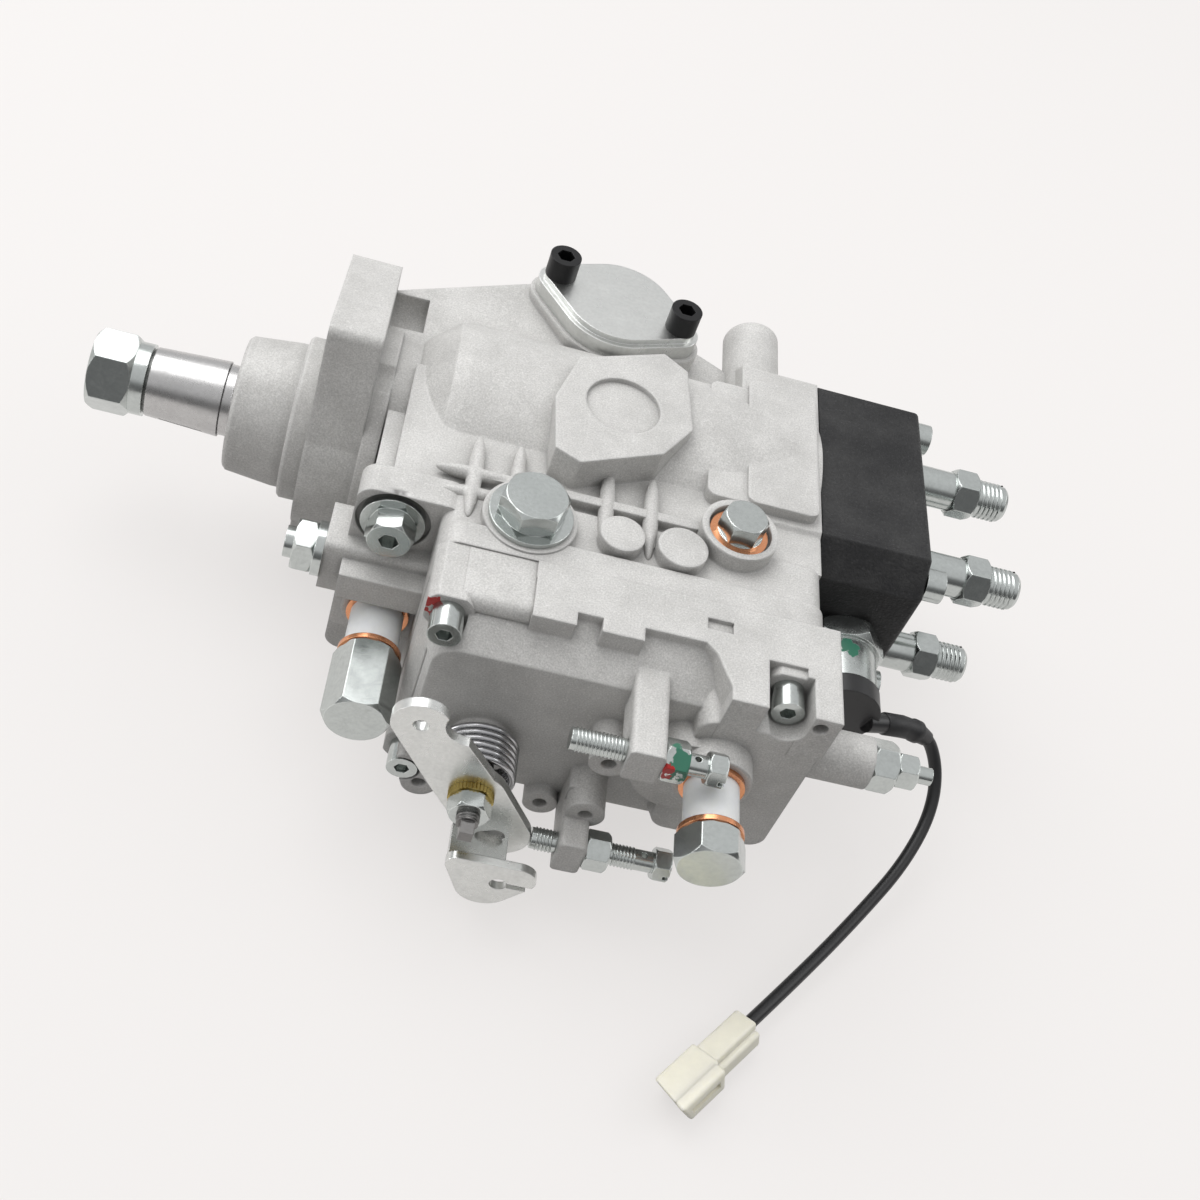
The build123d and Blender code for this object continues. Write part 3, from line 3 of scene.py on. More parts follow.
import bmesh
import bpy
from bpy.props import FloatProperty, FloatVectorProperty, IntProperty, PointerProperty
from mathutils import Matrix, Vector


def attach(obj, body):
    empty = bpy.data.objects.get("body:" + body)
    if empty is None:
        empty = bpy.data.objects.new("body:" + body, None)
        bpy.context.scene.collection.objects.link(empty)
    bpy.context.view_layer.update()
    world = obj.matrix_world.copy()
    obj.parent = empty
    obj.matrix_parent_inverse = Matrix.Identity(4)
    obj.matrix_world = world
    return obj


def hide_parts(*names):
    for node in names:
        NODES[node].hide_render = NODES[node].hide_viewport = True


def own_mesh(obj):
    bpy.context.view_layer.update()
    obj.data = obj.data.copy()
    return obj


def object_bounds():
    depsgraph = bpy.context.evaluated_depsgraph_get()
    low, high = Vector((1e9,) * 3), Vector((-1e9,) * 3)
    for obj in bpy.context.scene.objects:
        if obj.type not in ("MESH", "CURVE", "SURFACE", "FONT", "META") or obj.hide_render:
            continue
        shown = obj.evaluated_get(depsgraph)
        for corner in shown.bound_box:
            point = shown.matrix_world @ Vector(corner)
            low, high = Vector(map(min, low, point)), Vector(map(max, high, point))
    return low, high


bl_info = {
    "name": "Diesel Injection Pump",
    "version": (1, 0, 0),
    "blender": (4, 5, 0),
    "location": "3D View > Sidebar > Pump",
    "description": "Dresses the injection pump's solids with finishes, threads, springs and its lead",
    "category": "Object",
}

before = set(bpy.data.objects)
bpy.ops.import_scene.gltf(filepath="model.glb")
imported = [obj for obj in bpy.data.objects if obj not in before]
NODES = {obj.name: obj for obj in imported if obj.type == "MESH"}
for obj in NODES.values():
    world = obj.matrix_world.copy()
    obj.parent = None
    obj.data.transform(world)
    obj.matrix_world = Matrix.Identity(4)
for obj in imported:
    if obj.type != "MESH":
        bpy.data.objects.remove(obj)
CAD_BOX = [list(corner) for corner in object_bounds()]
MM = 0.001


def mm(*values):
    """A place given in millimetres, as a vector in metres."""
    return Vector(values) * MM


# ---- Places on the solids, in millimetres: +X along the shaft, -Y out of the cover, +Z up ----------
STOP_Y = -115.0
MAX_STOP_Z = 24.0
IDLE_STOP_Z = -24.5
STOP_THREADS = ((85.2, 99.0, MAX_STOP_Z), (86.4, 92.6, IDLE_STOP_Z), (108.4, 116.2, IDLE_STOP_Z))
OUTLETS = 4
OUTLET_CIRCLE = 27.0
OUTLET_THREAD = (210.6, 219.8)
THROTTLE = (65.5, -8.0)
LEVER_FACE_Y = -116.5
STUD_THREAD_Y = -123.4
RETURN_SPRING_Y = -100.6
TIMER = (84.0, 48.0)
TIMER_SPRING = (8.0, 30.0)
CHEEK = ((50.0, -88.6, 33.0), (68.9, -70.3, 37.15))
RED_DAB_ON_COVER = ((42.0, -91.6, 33.4), 5.0, "red_paint")
DABS_ON_NUTS = (((113.5, -117.5, 26.5), 5.2, "green_paint"), ((109.4, -118.0, 25.0), 3.4, "red_paint"))
GREEN_DAB_ON_SOLENOID = ((168.6, -49.6, 11.0), 3.6, "green_paint")

# Spindles on the housing's side: centre and half lengths.
RIBS = [((x, -42.0, 35.0), (2.3, 16.0, 2.2)) for x in (48.0, 60.0, 86.0, 99.0)] + [
    ((48.0, -41.7, 35.2), (11.0, 1.9, 2.3)), ((50.5, -48.5, 34.4), (11.0, 2.2, 2.1))]

LEAD_ROUTE = ((184.0, -64.3, -3.0), (200.0, -58.0, -8.0), (208.5, -63.0, -18.0), (210.2, -74.0, -28.0),
              (203.0, -90.0, -35.0), (190.5, -107.0, -39.5), (173.0, -129.0, -42.0), (155.5, -149.5, -42.5))

# The boot on the lead: distance from the cap and radius of each ring.
BOOT_RINGS = ((0.0, 2.7), (0.6, 3.5), (8.0, 3.5), (12.5, 3.25), (13.0, 3.6), (15.2, 3.6), (15.8, 3.1),
              (20.0, 2.5), (20.6, 2.1))
BOOT_SIDES = 32

# The connector in its own frame, +X to its windowed side and +Z along the lead: centre, size and rounding
# of the neck, the neck's ledge, the front and the front's side ridge.
CONNECTOR_BLOCKS = (((-0.4, 0.0, 8.2), (7.4, 7.4, 17.8), 0.9), ((3.1, -1.0, 8.4), (4.4, 5.0, 17.0), 1.0),
                    ((-0.4, 0.0, 26.4), (9.6, 8.6, 19.2), 1.0), ((5.0, 0.0, 26.8), (4.8, 8.3, 18.6), 1.3))
CONNECTOR_SHOULDER = 16.9
CONNECTOR_FRONT = 35.6
CONNECTOR_TOP = 4.3
CONNECTOR_SIDE = 7.4
FRONT_SLOPE = 0.5
FRONT_SKEW = 0.22
CONNECTOR_ROLL = math.radians(20.0)
WINDOW_FRAME = 2.2
WINDOW_DEPTH = 1.0

# ---- The studio, in metres and watts ---------------------------------------------------------------
CAMERA_PLACE = (0.01930, -0.36074, 0.34951)
CAMERA_AXES = ((0.96135, 0.06767, 0.26689), (-0.22636, 0.74610, 0.62618), (-0.15675, -0.66239, 0.73258))
FLOOR_HALF_SIDE = 6.0
FLOOR_GAP = 0.0002
FLOOR_BOUNCE = 0.20
FLOOR_GLOW = 0.705
LIGHT_AIM = (0.08, -0.03, -0.02)
LIGHTS = (("key_light", (-0.45, 0.45, 1.10), 1.1, 11.0), ("left_strip", (-0.95, -0.15, 0.22), 0.30, 1.3),
          ("side_light", (0.95, 0.10, 0.60), 0.6, 2.2))
# The room's brightness along an axis that points up, back and a little left: position and level.
ROOM_AXIS = (-0.22, 0.30, 0.93)
ROOM_LEVELS = ((0.0, 0.14), (0.38, 0.14), (0.55, 0.26), (0.70, 0.80), (1.0, 0.92))
ROOM_STRENGTH = 0.9

# ---- Metal finishes: material, colour property, roughness, edge radius in millimetres, nodes ---------
METALS = (
    ("Bright zinc", "zinc", 0.17, 0.4,
     ("banjo_bolts", "shaft_nut", "shaft_spring_washer", "large_plug", "pivot_plugs", "cover_screws",
      "delivery_holders", "head_bolts", "centre_plug", "stop_screws", "full_load_screw", "regulating_valve",
      "throttle_nut", "governor_shaft")),
    ("Pale zinc lever", "lever", 0.27, 0.4, ("throttle_lever",)),
    ("Oiled steel", "oiled_steel", 0.3, 0.3, ("throttle_shaft",)),
    ("Pale plated cover", "cover_plate", 0.3, 0.5, ("timer_covers",)),
    ("Ground steel", "steel", 0.26, 0.3,
     ("drive_shaft", "supply_liner", "supply_rotor", "supply_vanes", "drive_gear", "cross_disc", "roller_ring",
      "cam_rollers", "cam_disc", "plunger", "spring_seat", "plunger_springs", "control_sleeve",
      "flyweight_cage", "flyweights", "governor_sleeve", "start_lever", "tension_lever", "correction_lever",
      "governor_spring", "timer_piston", "timer_spring", "solenoid_armature", "delivery_valve_1",
      "delivery_valve_2", "delivery_valve_3", "delivery_valve_4")),
    ("Copper", "copper", 0.24, 0.3, ("copper_washers",)),
    ("Bronze", "bronze", 0.35, 0.3, ("shaft_bush",)),
)


# ---- Sizes and colours that a user would change ----------------------------------------------------
class PumpSizes(bpy.types.PropertyGroup):
    """Sizes of the pieces that are made here"""
    lens: FloatProperty(name="Lens", description="Focal length of the view camera on a 36 mm sensor",
                        default=48.3, min=10.0, max=200.0, unit="CAMERA")
    lead_diameter: FloatProperty(name="Lead diameter", description="Outside diameter of the solenoid's lead",
                                 default=4.0 * MM, min=1.0 * MM, max=10.0 * MM, unit="LENGTH")
    wire: FloatProperty(name="Spring wire", description="Wire diameter of the throttle's return spring",
                        default=1.9 * MM, min=0.5 * MM, max=3.0 * MM, unit="LENGTH")
    coil_radius: FloatProperty(name="Coil radius", description="Outer radius of the return spring's coils",
                               default=11.4 * MM, min=8.0 * MM, max=14.0 * MM, unit="LENGTH")
    coil_turns: IntProperty(name="Coil turns", description="Turns of the return spring",
                            default=6, min=2, max=12)
    grain: FloatProperty(name="Casting grain", description="Size of the blasted casting's grain",
                         default=0.5 * MM, min=0.1 * MM, max=3.0 * MM, unit="LENGTH")
    edge: FloatProperty(name="Edge softness", description="Radius that the castings' edges seem to have",
                        default=1.4 * MM, min=0.1 * MM, max=4.0 * MM, unit="LENGTH")
    washer_teeth: IntProperty(name="Washer teeth", description="Teeth of the throttle's lock washer",
                              default=36, min=8, max=80)


def colour(name, description, default):
    """A colour property."""
    return FloatVectorProperty(name=name, description=description, default=default, size=3, min=0.0, max=1.0,
                               subtype="COLOR")


class PumpColours(bpy.types.PropertyGroup):
    """Colours of the pump's finishes and of the floor"""
    casting: colour("Casting", "Blasted cast aluminium", (0.66, 0.652, 0.632))
    casting_shade: colour("Casting shade", "Darker patches of the casting", (0.55, 0.543, 0.525))
    # Bright flecks and worn edges, and a painted highlight on the edges.
    casting_fleck_wear_and_highlight: colour("Casting edge", "Bright flecks, worn edges and painted edge highlights of the casting", (0.86, 0.85, 0.83))
    # Dark grain of the casting, and painted shade in its corners.
    grain_and_corner_shade: colour("Grain and corner shade", "Dark grain of the casting, and painted shade in its corners", (0.20, 0.197, 0.19))
    zinc: colour("Bright zinc", "Zinc-plated fasteners", (0.57, 0.60, 0.585))
    lever: colour("Lever plate", "Pale zinc of the throttle's lever", (0.74, 0.75, 0.73))
    cover_plate: colour("Cover plate", "Pale plating of the timing covers", (0.73, 0.74, 0.72))
    steel: colour("Ground steel", "Shaft and inner pieces", (0.56, 0.555, 0.55))
    oiled_steel: colour("Oiled steel", "The throttle's shaft", (0.22, 0.215, 0.21))
    return_wire: colour("Return spring wire", "Wire of the return spring", (0.50, 0.50, 0.51))
    timing_wire: colour("Timing spring wire", "Wire of the timing spring", (0.42, 0.42, 0.43))
    black_coat: colour("Black coat", "The distributor head's coating", (0.040, 0.040, 0.040))
    black_shade: colour("Black coat shade", "Darker patches of the coating", (0.018, 0.018, 0.019))
    # Flecks and worn edges of the coating, and a painted highlight on its edges.
    black_fleck_wear_and_highlight: colour("Black coat edge", "Flecks, worn edges and painted edge highlights of the coating", (0.085, 0.085, 0.087))
    # Dark grain of the coating, and painted shade in its corners.
    black_grain_and_corner_shade: colour("Black coat grain and corner shade", "Dark grain of the coating, and painted shade in its corners", (0.006, 0.006, 0.006))
    black_oxide: colour("Black oxide", "Blackened cap screws", (0.018, 0.018, 0.019))
    copper: colour("Copper", "Sealing washers", (0.80, 0.36, 0.19))
    bronze: colour("Bronze", "Shaft bush", (0.50, 0.33, 0.16))
    yellow_zinc: colour("Yellow zinc", "The throttle's toothed washer", (0.50, 0.38, 0.13))
    rubber: colour("Rubber", "Cap, seal and lead", (0.013, 0.013, 0.014))
    milky: colour("Milky plastic", "Transport sleeves", (0.84, 0.86, 0.84))
    ivory: colour("Ivory plastic", "The lead's connector", (0.86, 0.83, 0.70))
    red_paint: colour("Red seal paint", "Paint dabs on set screws", (0.40, 0.007, 0.005))
    green_paint: colour("Green seal paint", "Paint dabs on checked screws", (0.03, 0.16, 0.10))
    floor: colour("Floor", "The studio floor", (0.93, 0.905, 0.89))


def sizes():
    """The scene's sizes."""
    return bpy.context.scene.pump_sizes


def colours():
    """The scene's colours."""
    return bpy.context.scene.pump_colours


# ---- Node helpers ----------------------------------------------------------------------------------
def feed(tree, value, socket):
    """Link a socket to an input, or set a plain value on it."""
    if isinstance(value, bpy.types.NodeSocket):
        tree.links.new(value, socket)
    else:
        socket.default_value = value


def node(tree, kind, inputs=None, **settings):
    """Add a node with its settings and what its inputs take, sockets or plain values."""
    item = tree.nodes.new(kind)
    for name, value in settings.items():
        setattr(item, name, value)
    for name, value in (inputs or {}).items():
        feed(tree, value, item.inputs[name])
    return item


def arithmetic(tree, operation, *values):
    """The result of a maths node."""
    return node(tree, "ShaderNodeMath", dict(enumerate(values)), operation=operation).outputs[0]


def remapped(tree, value, start, end, low=0.0, high=1.0):
    """A value taken from one range to another, and kept within it."""
    return node(tree, "ShaderNodeMapRange", {"Value": value, "From Min": start, "From Max": end,
                                             "To Min": low, "To Max": high}).outputs["Result"]


def object_coordinates(tree):
    """Places in the piece's own frame."""
    return node(tree, "ShaderNodeTexCoord").outputs["Object"]


def new_group(name, inputs, outputs):
    """Start a node group: inputs are (name, socket type, default), and outputs (name, socket type)."""
    tree = bpy.data.node_groups.new(name, "ShaderNodeTree")
    for label, kind, default in inputs:
        socket = tree.interface.new_socket(label, in_out="INPUT", socket_type=kind)
        socket.default_value = default
    for label, kind in outputs:
        tree.interface.new_socket(label, in_out="OUTPUT", socket_type=kind)
    return tree, tree.nodes.new("NodeGroupInput").outputs, tree.nodes.new("NodeGroupOutput").inputs


def soft_edge_group():
    """Rounded-edge normal, and a mask that is 1 on the edges, which the finishes brighten as a painted
    highlight, on castings partly as wear.
    """
    tree, entry, out = new_group("Soft edges", [("Radius", "NodeSocketFloat", 0.0009)],
                                 [("Normal", "NodeSocketVector"), ("Edge", "NodeSocketFloat")])
    bevel = node(tree, "ShaderNodeBevel", {"Radius": entry["Radius"]}, samples=4).outputs["Normal"]
    flat = node(tree, "ShaderNodeNewGeometry").outputs["Normal"]
    dot = node(tree, "ShaderNodeVectorMath", {0: bevel, 1: flat}, operation="DOT_PRODUCT").outputs["Value"]
    feed(tree, bevel, out["Normal"])
    feed(tree, remapped(tree, dot, 0.995, 0.86), out["Edge"])
    return tree


def cast_grain_group():
    """Blasted-casting relief, broad patches, fine mottling and bright flecks."""
    tree, entry, out = new_group(
        "Cast grain", [("Grain", "NodeSocketFloat", 0.0006), ("Depth", "NodeSocketFloat", 0.00012),
                       ("Normal", "NodeSocketVector", (0.0, 0.0, 0.0))],
        [("Normal", "NodeSocketVector"), ("Tone", "NodeSocketFloat"), ("Mottle", "NodeSocketFloat"),
         ("Fleck", "NodeSocketFloat")])
    place = object_coordinates(tree)
    density = arithmetic(tree, "DIVIDE", 1.0, entry["Grain"])
    fine = node(tree, "ShaderNodeTexNoise",
                {"Vector": place, "Scale": density, "Detail": 4.0, "Roughness": 0.7}).outputs["Fac"]
    lumps = node(tree, "ShaderNodeTexNoise",
                 {"Vector": place, "Scale": 620.0, "Detail": 3.0, "Roughness": 0.6}).outputs["Fac"]
    cells = node(tree, "ShaderNodeTexVoronoi", {"Vector": place, "Scale": 2600.0}, feature="F1")
    patches = node(tree, "ShaderNodeTexNoise",
                   {"Vector": place, "Scale": 55.0, "Detail": 5.0, "Roughness": 0.68}).outputs["Fac"]
    relief = arithmetic(tree, "MULTIPLY_ADD", lumps, 0.6, fine)
    bump = node(tree, "ShaderNodeBump", {"Strength": 0.9, "Distance": entry["Depth"], "Height": relief,
                                         "Normal": entry["Normal"]})
    split = node(tree, "ShaderNodeSeparateXYZ", {0: cells.outputs["Color"]})
    feed(tree, bump.outputs["Normal"], out["Normal"])
    feed(tree, remapped(tree, patches, 0.36, 0.62), out["Tone"])
    feed(tree, remapped(tree, fine, 0.62, 0.38), out["Mottle"])
    feed(tree, remapped(tree, split.outputs["X"], 0.93, 0.96), out["Fleck"])
    return tree


def corner_shade_group():
    """Painted shade: a mask that grows where surfaces close in on each other, to darken the corners."""
    tree, entry, out = new_group("Corner dust", [("Reach", "NodeSocketFloat", 0.003)],
                                 [("Mask", "NodeSocketFloat")])
    hollow = node(tree, "ShaderNodeAmbientOcclusion", {"Distance": entry["Reach"]}, samples=4)
    feed(tree, remapped(tree, hollow.outputs["AO"], 0.85, 0.25), out["Mask"])
    return tree


def plating_group():
    """Cloudy roughness and faint handling marks of plated metal."""
    tree, entry, out = new_group("Plating", [("Roughness", "NodeSocketFloat", 0.2)],
                                 [("Roughness", "NodeSocketFloat"), ("Cloud", "NodeSocketFloat")])
    place = object_coordinates(tree)
    cloud = node(tree, "ShaderNodeTexNoise",
                 {"Vector": place, "Scale": 160.0, "Detail": 5.0, "Roughness": 0.65}).outputs["Fac"]
    marks = node(tree, "ShaderNodeTexNoise", {"Vector": place, "Scale": 900.0, "Detail": 2.0}).outputs["Fac"]
    spread = remapped(tree, cloud, 0.3, 0.7, -0.05, 0.09)
    feed(tree, arithmetic(tree, "ADD", entry["Roughness"], spread), out["Roughness"])
    feed(tree, arithmetic(tree, "MULTIPLY", cloud, marks), out["Cloud"])
    return tree


def paint_dab_group():
    """A ragged round mask about a place on the piece."""
    tree, entry, out = new_group(
        "Paint dab", [("Centre", "NodeSocketVector", (0.0, 0.0, 0.0)), ("Radius", "NodeSocketFloat", 0.004)],
        [("Mask", "NodeSocketFloat")])
    place = object_coordinates(tree)
    ragged = node(tree, "ShaderNodeTexNoise", {"Vector": place, "Scale": 380.0, "Detail": 4.0}).outputs["Fac"]
    away = node(tree, "ShaderNodeVectorMath", {0: place, 1: entry["Centre"]},
                operation="DISTANCE").outputs["Value"]
    share = arithmetic(tree, "DIVIDE", away, entry["Radius"])
    rough = arithmetic(tree, "MULTIPLY_ADD", ragged, 2.4, share)
    feed(tree, remapped(tree, rough, 2.06, 1.98), out["Mask"])
    return tree


GROUP_MAKERS = {"Soft edges": soft_edge_group, "Cast grain": cast_grain_group, "Plating": plating_group,
                "Corner dust": corner_shade_group, "Paint dab": paint_dab_group}


def use_group(tree, name, inputs):
    """The outputs of a group node, its tree made on first use."""
    shared = bpy.data.node_groups.get(name) or GROUP_MAKERS[name]()
    return node(tree, "ShaderNodeGroup", inputs, node_tree=shared).outputs


def mixed(tree, kind, mask, first, second):
    """Two colours (kind RGBA) or two numbers (kind FLOAT), mixed by a mask."""
    mix = node(tree, "ShaderNodeMix", {"Factor": mask}, data_type=kind)
    wanted = "RGBA" if kind == "RGBA" else "VALUE"
    for label, value in (("A", first), ("B", second)):
        feed(tree, value, [s for s in mix.inputs if s.name == label and s.type == wanted][0])
    return [s for s in mix.outputs if s.type == wanted][0]


def mix_colour(tree, mask, first, second):
    """Mix two colours, each a socket or a plain colour, by a mask socket."""
    plain = [item if isinstance(item, bpy.types.NodeSocket) else (*item, 1.0) for item in (first, second)]
    return mixed(tree, "RGBA", mask, *plain)


def scaled(tree, mask, share):
    """A mask at a share of its strength."""
    return arithmetic(tree, "MULTIPLY", mask, share)


def darker(shade, share):
    """A colour at a share of its strength."""
    return tuple(share * value for value in shade)


# ---- Materials -------------------------------------------------------------------------------------
def new_material(name, base, metallic, roughness):
    """A material whose plain values sit on the shader's own sockets."""
    material = bpy.data.materials.new(name)
    material.use_nodes = True
    tree = material.node_tree
    shader = tree.nodes["Principled BSDF"].inputs
    shader["Base Color"].default_value = (*base, 1.0)
    shader["Metallic"].default_value = metallic
    shader["Roughness"].default_value = roughness
    return material, tree, shader


def add_dabs(tree, base, rough, metal, dabs):
    """Lay paint dabs, each (place in mm, radius in mm, colour property), over a finish."""
    for place, radius, paint in dabs:
        mask = use_group(tree, "Paint dab", {"Centre": mm(*place), "Radius": radius * MM})["Mask"]
        base = mix_colour(tree, mask, base, getattr(colours(), paint))
        rough = mixed(tree, "FLOAT", mask, rough, 0.35)
        metal = mixed(tree, "FLOAT", mask, metal, 0.0)
    return base, rough, metal


def cast_material(name, light, shade, bright, grain_and_corner_shade, grain, depth, edge, metallic, roughness=0.5, fleck=0.22,
                  dabs=()):
    """A cast surface: grain, patches, flecks, painted shade in the corners, edges brightened partly as wear
    and partly as a painted highlight and, where asked, paint dabs.
    """
    material, tree, shader = new_material(name, light, metallic, roughness)
    edges = use_group(tree, "Soft edges", {"Radius": edge})
    texture = use_group(tree, "Cast grain", {"Grain": grain, "Depth": depth, "Normal": edges["Normal"]})
    corner_shade = use_group(tree, "Corner dust", {"Reach": 0.0035})["Mask"]
    base = mix_colour(tree, texture["Tone"], shade, light)
    base = mix_colour(tree, scaled(tree, texture["Mottle"], 0.38), base, grain_and_corner_shade)
    base = mix_colour(tree, scaled(tree, texture["Fleck"], fleck), base, bright)
    # Edges brightened, partly as wear and partly as a painted highlight.
    base = mix_colour(tree, scaled(tree, edges["Edge"], 0.5), base, bright)
    # Painted shade darkens the corners where surfaces close in.
    base = mix_colour(tree, scaled(tree, corner_shade, 0.7), base, grain_and_corner_shade)
    rough = mixed(tree, "FLOAT", texture["Fleck"], roughness, 0.6 * roughness)
    base, rough, metal = add_dabs(tree, base, rough, metallic, dabs)
    for label, value in (("Base Color", base), ("Roughness", rough), ("Metallic", metal),
                         ("Normal", texture["Normal"])):
        feed(tree, value, shader[label])
    return material


def plated_material(name, base, roughness, edge, dabs=(), metallic=1.0):
    """A plated or ground metal: cloudy roughness, softened edges with a painted highlight and, where asked,
    paint dabs.
    """
    material, tree, shader = new_material(name, base, metallic, roughness)
    edges = use_group(tree, "Soft edges", {"Radius": edge})
    plating = use_group(tree, "Plating", {"Roughness": roughness})
    shade = mix_colour(tree, plating["Cloud"], base, darker(base, 0.6))
    # Painted highlight along the edges.
    edge_highlight = tuple(min(0.95, 1.5 * value) for value in base)
    shade = mix_colour(tree, scaled(tree, edges["Edge"], 0.7), shade, edge_highlight)
    shade, rough, metal = add_dabs(tree, shade, plating["Roughness"], metallic, dabs)
    for label, value in (("Base Color", shade), ("Roughness", rough), ("Metallic", metal),
                         ("Normal", edges["Normal"])):
        feed(tree, value, shader[label])
    return material


def moulded_material(name, base, roughness, edge, subsurface=0.0, depth=0.00002):
    """Moulded plastic or rubber: a faint grain, softened edges and, for milky plastic, some glow."""
    material, tree, shader = new_material(name, base, 0.0, roughness)
    shader["Subsurface Weight"].default_value = subsurface
    shader["Subsurface Radius"].default_value = (0.004, 0.004, 0.003)
    shader["Subsurface Scale"].default_value = 1.0
    edges = use_group(tree, "Soft edges", {"Radius": edge})
    texture = use_group(tree, "Cast grain", {"Grain": 0.0006, "Depth": depth, "Normal": edges["Normal"]})
    feed(tree, mix_colour(tree, texture["Tone"], darker(base, 0.9), base), shader["Base Color"])
    feed(tree, texture["Normal"], shader["Normal"])
    return material


def finish_nodes(material, names):
    """Give solids of the part a finish, in place of their plain one."""
    for name in names:
        slots = NODES[name].data.materials
        slots.clear()
        slots.append(material)


# ---- Mesh helpers ----------------------------------------------------------------------------------
def linked(name, data):
    """A new object in the scene."""
    item = bpy.data.objects.new(name, data)
    bpy.context.scene.collection.objects.link(item)
    return item


def piece_from(bm, name, material, body="root", smooth=True, replaces=()):
    """Turn a bmesh, already in the row's frame, into a piece that rides a body."""
    bmesh.ops.recalc_face_normals(bm, faces=bm.faces)
    mesh = bpy.data.meshes.new(name)
    bm.to_mesh(mesh)
    bm.free()
    for polygon in mesh.polygons:
        polygon.use_smooth = smooth
    mesh.materials.append(material)
    piece = linked(name, mesh)
    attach(piece, body)
    if replaces:
        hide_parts(*replaces)
    return piece


def all_edges(verts):
    """Every edge that meets one of these vertices."""
    return list({edge for vert in verts for edge in vert.link_edges})


def box_into(bm, centre, size):
    """Add a box by its centre and size, as vectors in metres; its edges."""
    shape = Matrix.Translation(centre) @ Matrix.Diagonal((*size, 1.0))
    return all_edges(bmesh.ops.create_cube(bm, size=1.0, matrix=shape)["verts"])


def sweep(bm, outline, edges, pitch, turns, steps, matrix):
    """Wind an outline about local Z into a helix, and place it by a matrix; the vertices that it adds."""
    before = set(bm.verts) - set(outline)
    bmesh.ops.spin(bm, geom=outline + edges, cent=(0, 0, 0), axis=(0, 0, 1), dvec=(0, 0, pitch / steps),
                   angle=2 * math.pi * turns, steps=int(steps * turns), use_duplicate=False)
    made = {vert for vert in bm.verts if vert not in before}
    bmesh.ops.transform(bm, matrix=matrix, verts=list(made))
    return made


def coil_into(bm, radius, wire, pitch, turns, matrix, sides=12, steps=48):
    """Sweep a round wire into a closed coil about local Z, starting at +X, and place it by a matrix."""
    upright = Matrix.Translation((radius, 0, 0)) @ Matrix.Rotation(math.pi / 2, 4, "X")
    start = bmesh.ops.create_circle(bm, segments=sides, radius=wire / 2, matrix=upright)["verts"]
    made = sweep(bm, start, all_edges(start), pitch, turns, steps, matrix)
    ends = [edge for edge in bm.edges if edge.is_boundary and edge.verts[0] in made]
    bmesh.ops.holes_fill(bm, edges=ends, sides=sides)


def thread_into(bm, major, depth, pitch, length, matrix, steps=28):
    """Sweep a small ridge into a thread about local Z, and place it by a matrix."""
    corners = [(major - 0.25 * depth, -0.40 * pitch), (major + depth, -0.08 * pitch),
               (major + depth, 0.08 * pitch), (major - 0.25 * depth, 0.40 * pitch)]
    verts = [bm.verts.new((x, 0, z + 0.5 * pitch)) for x, z in corners]
    edges = [bm.edges.new(pair) for pair in zip(verts, verts[1:])]
    sweep(bm, verts, edges, pitch, max(1.0, length / pitch - 1), steps, matrix)


def toward(axis, start):
    """The matrix that takes local +Z to an axis of the frame, from a start in millimetres."""
    return Matrix.Translation(mm(*start)) @ Vector(axis).to_track_quat("Z", "Y").to_matrix().to_4x4()


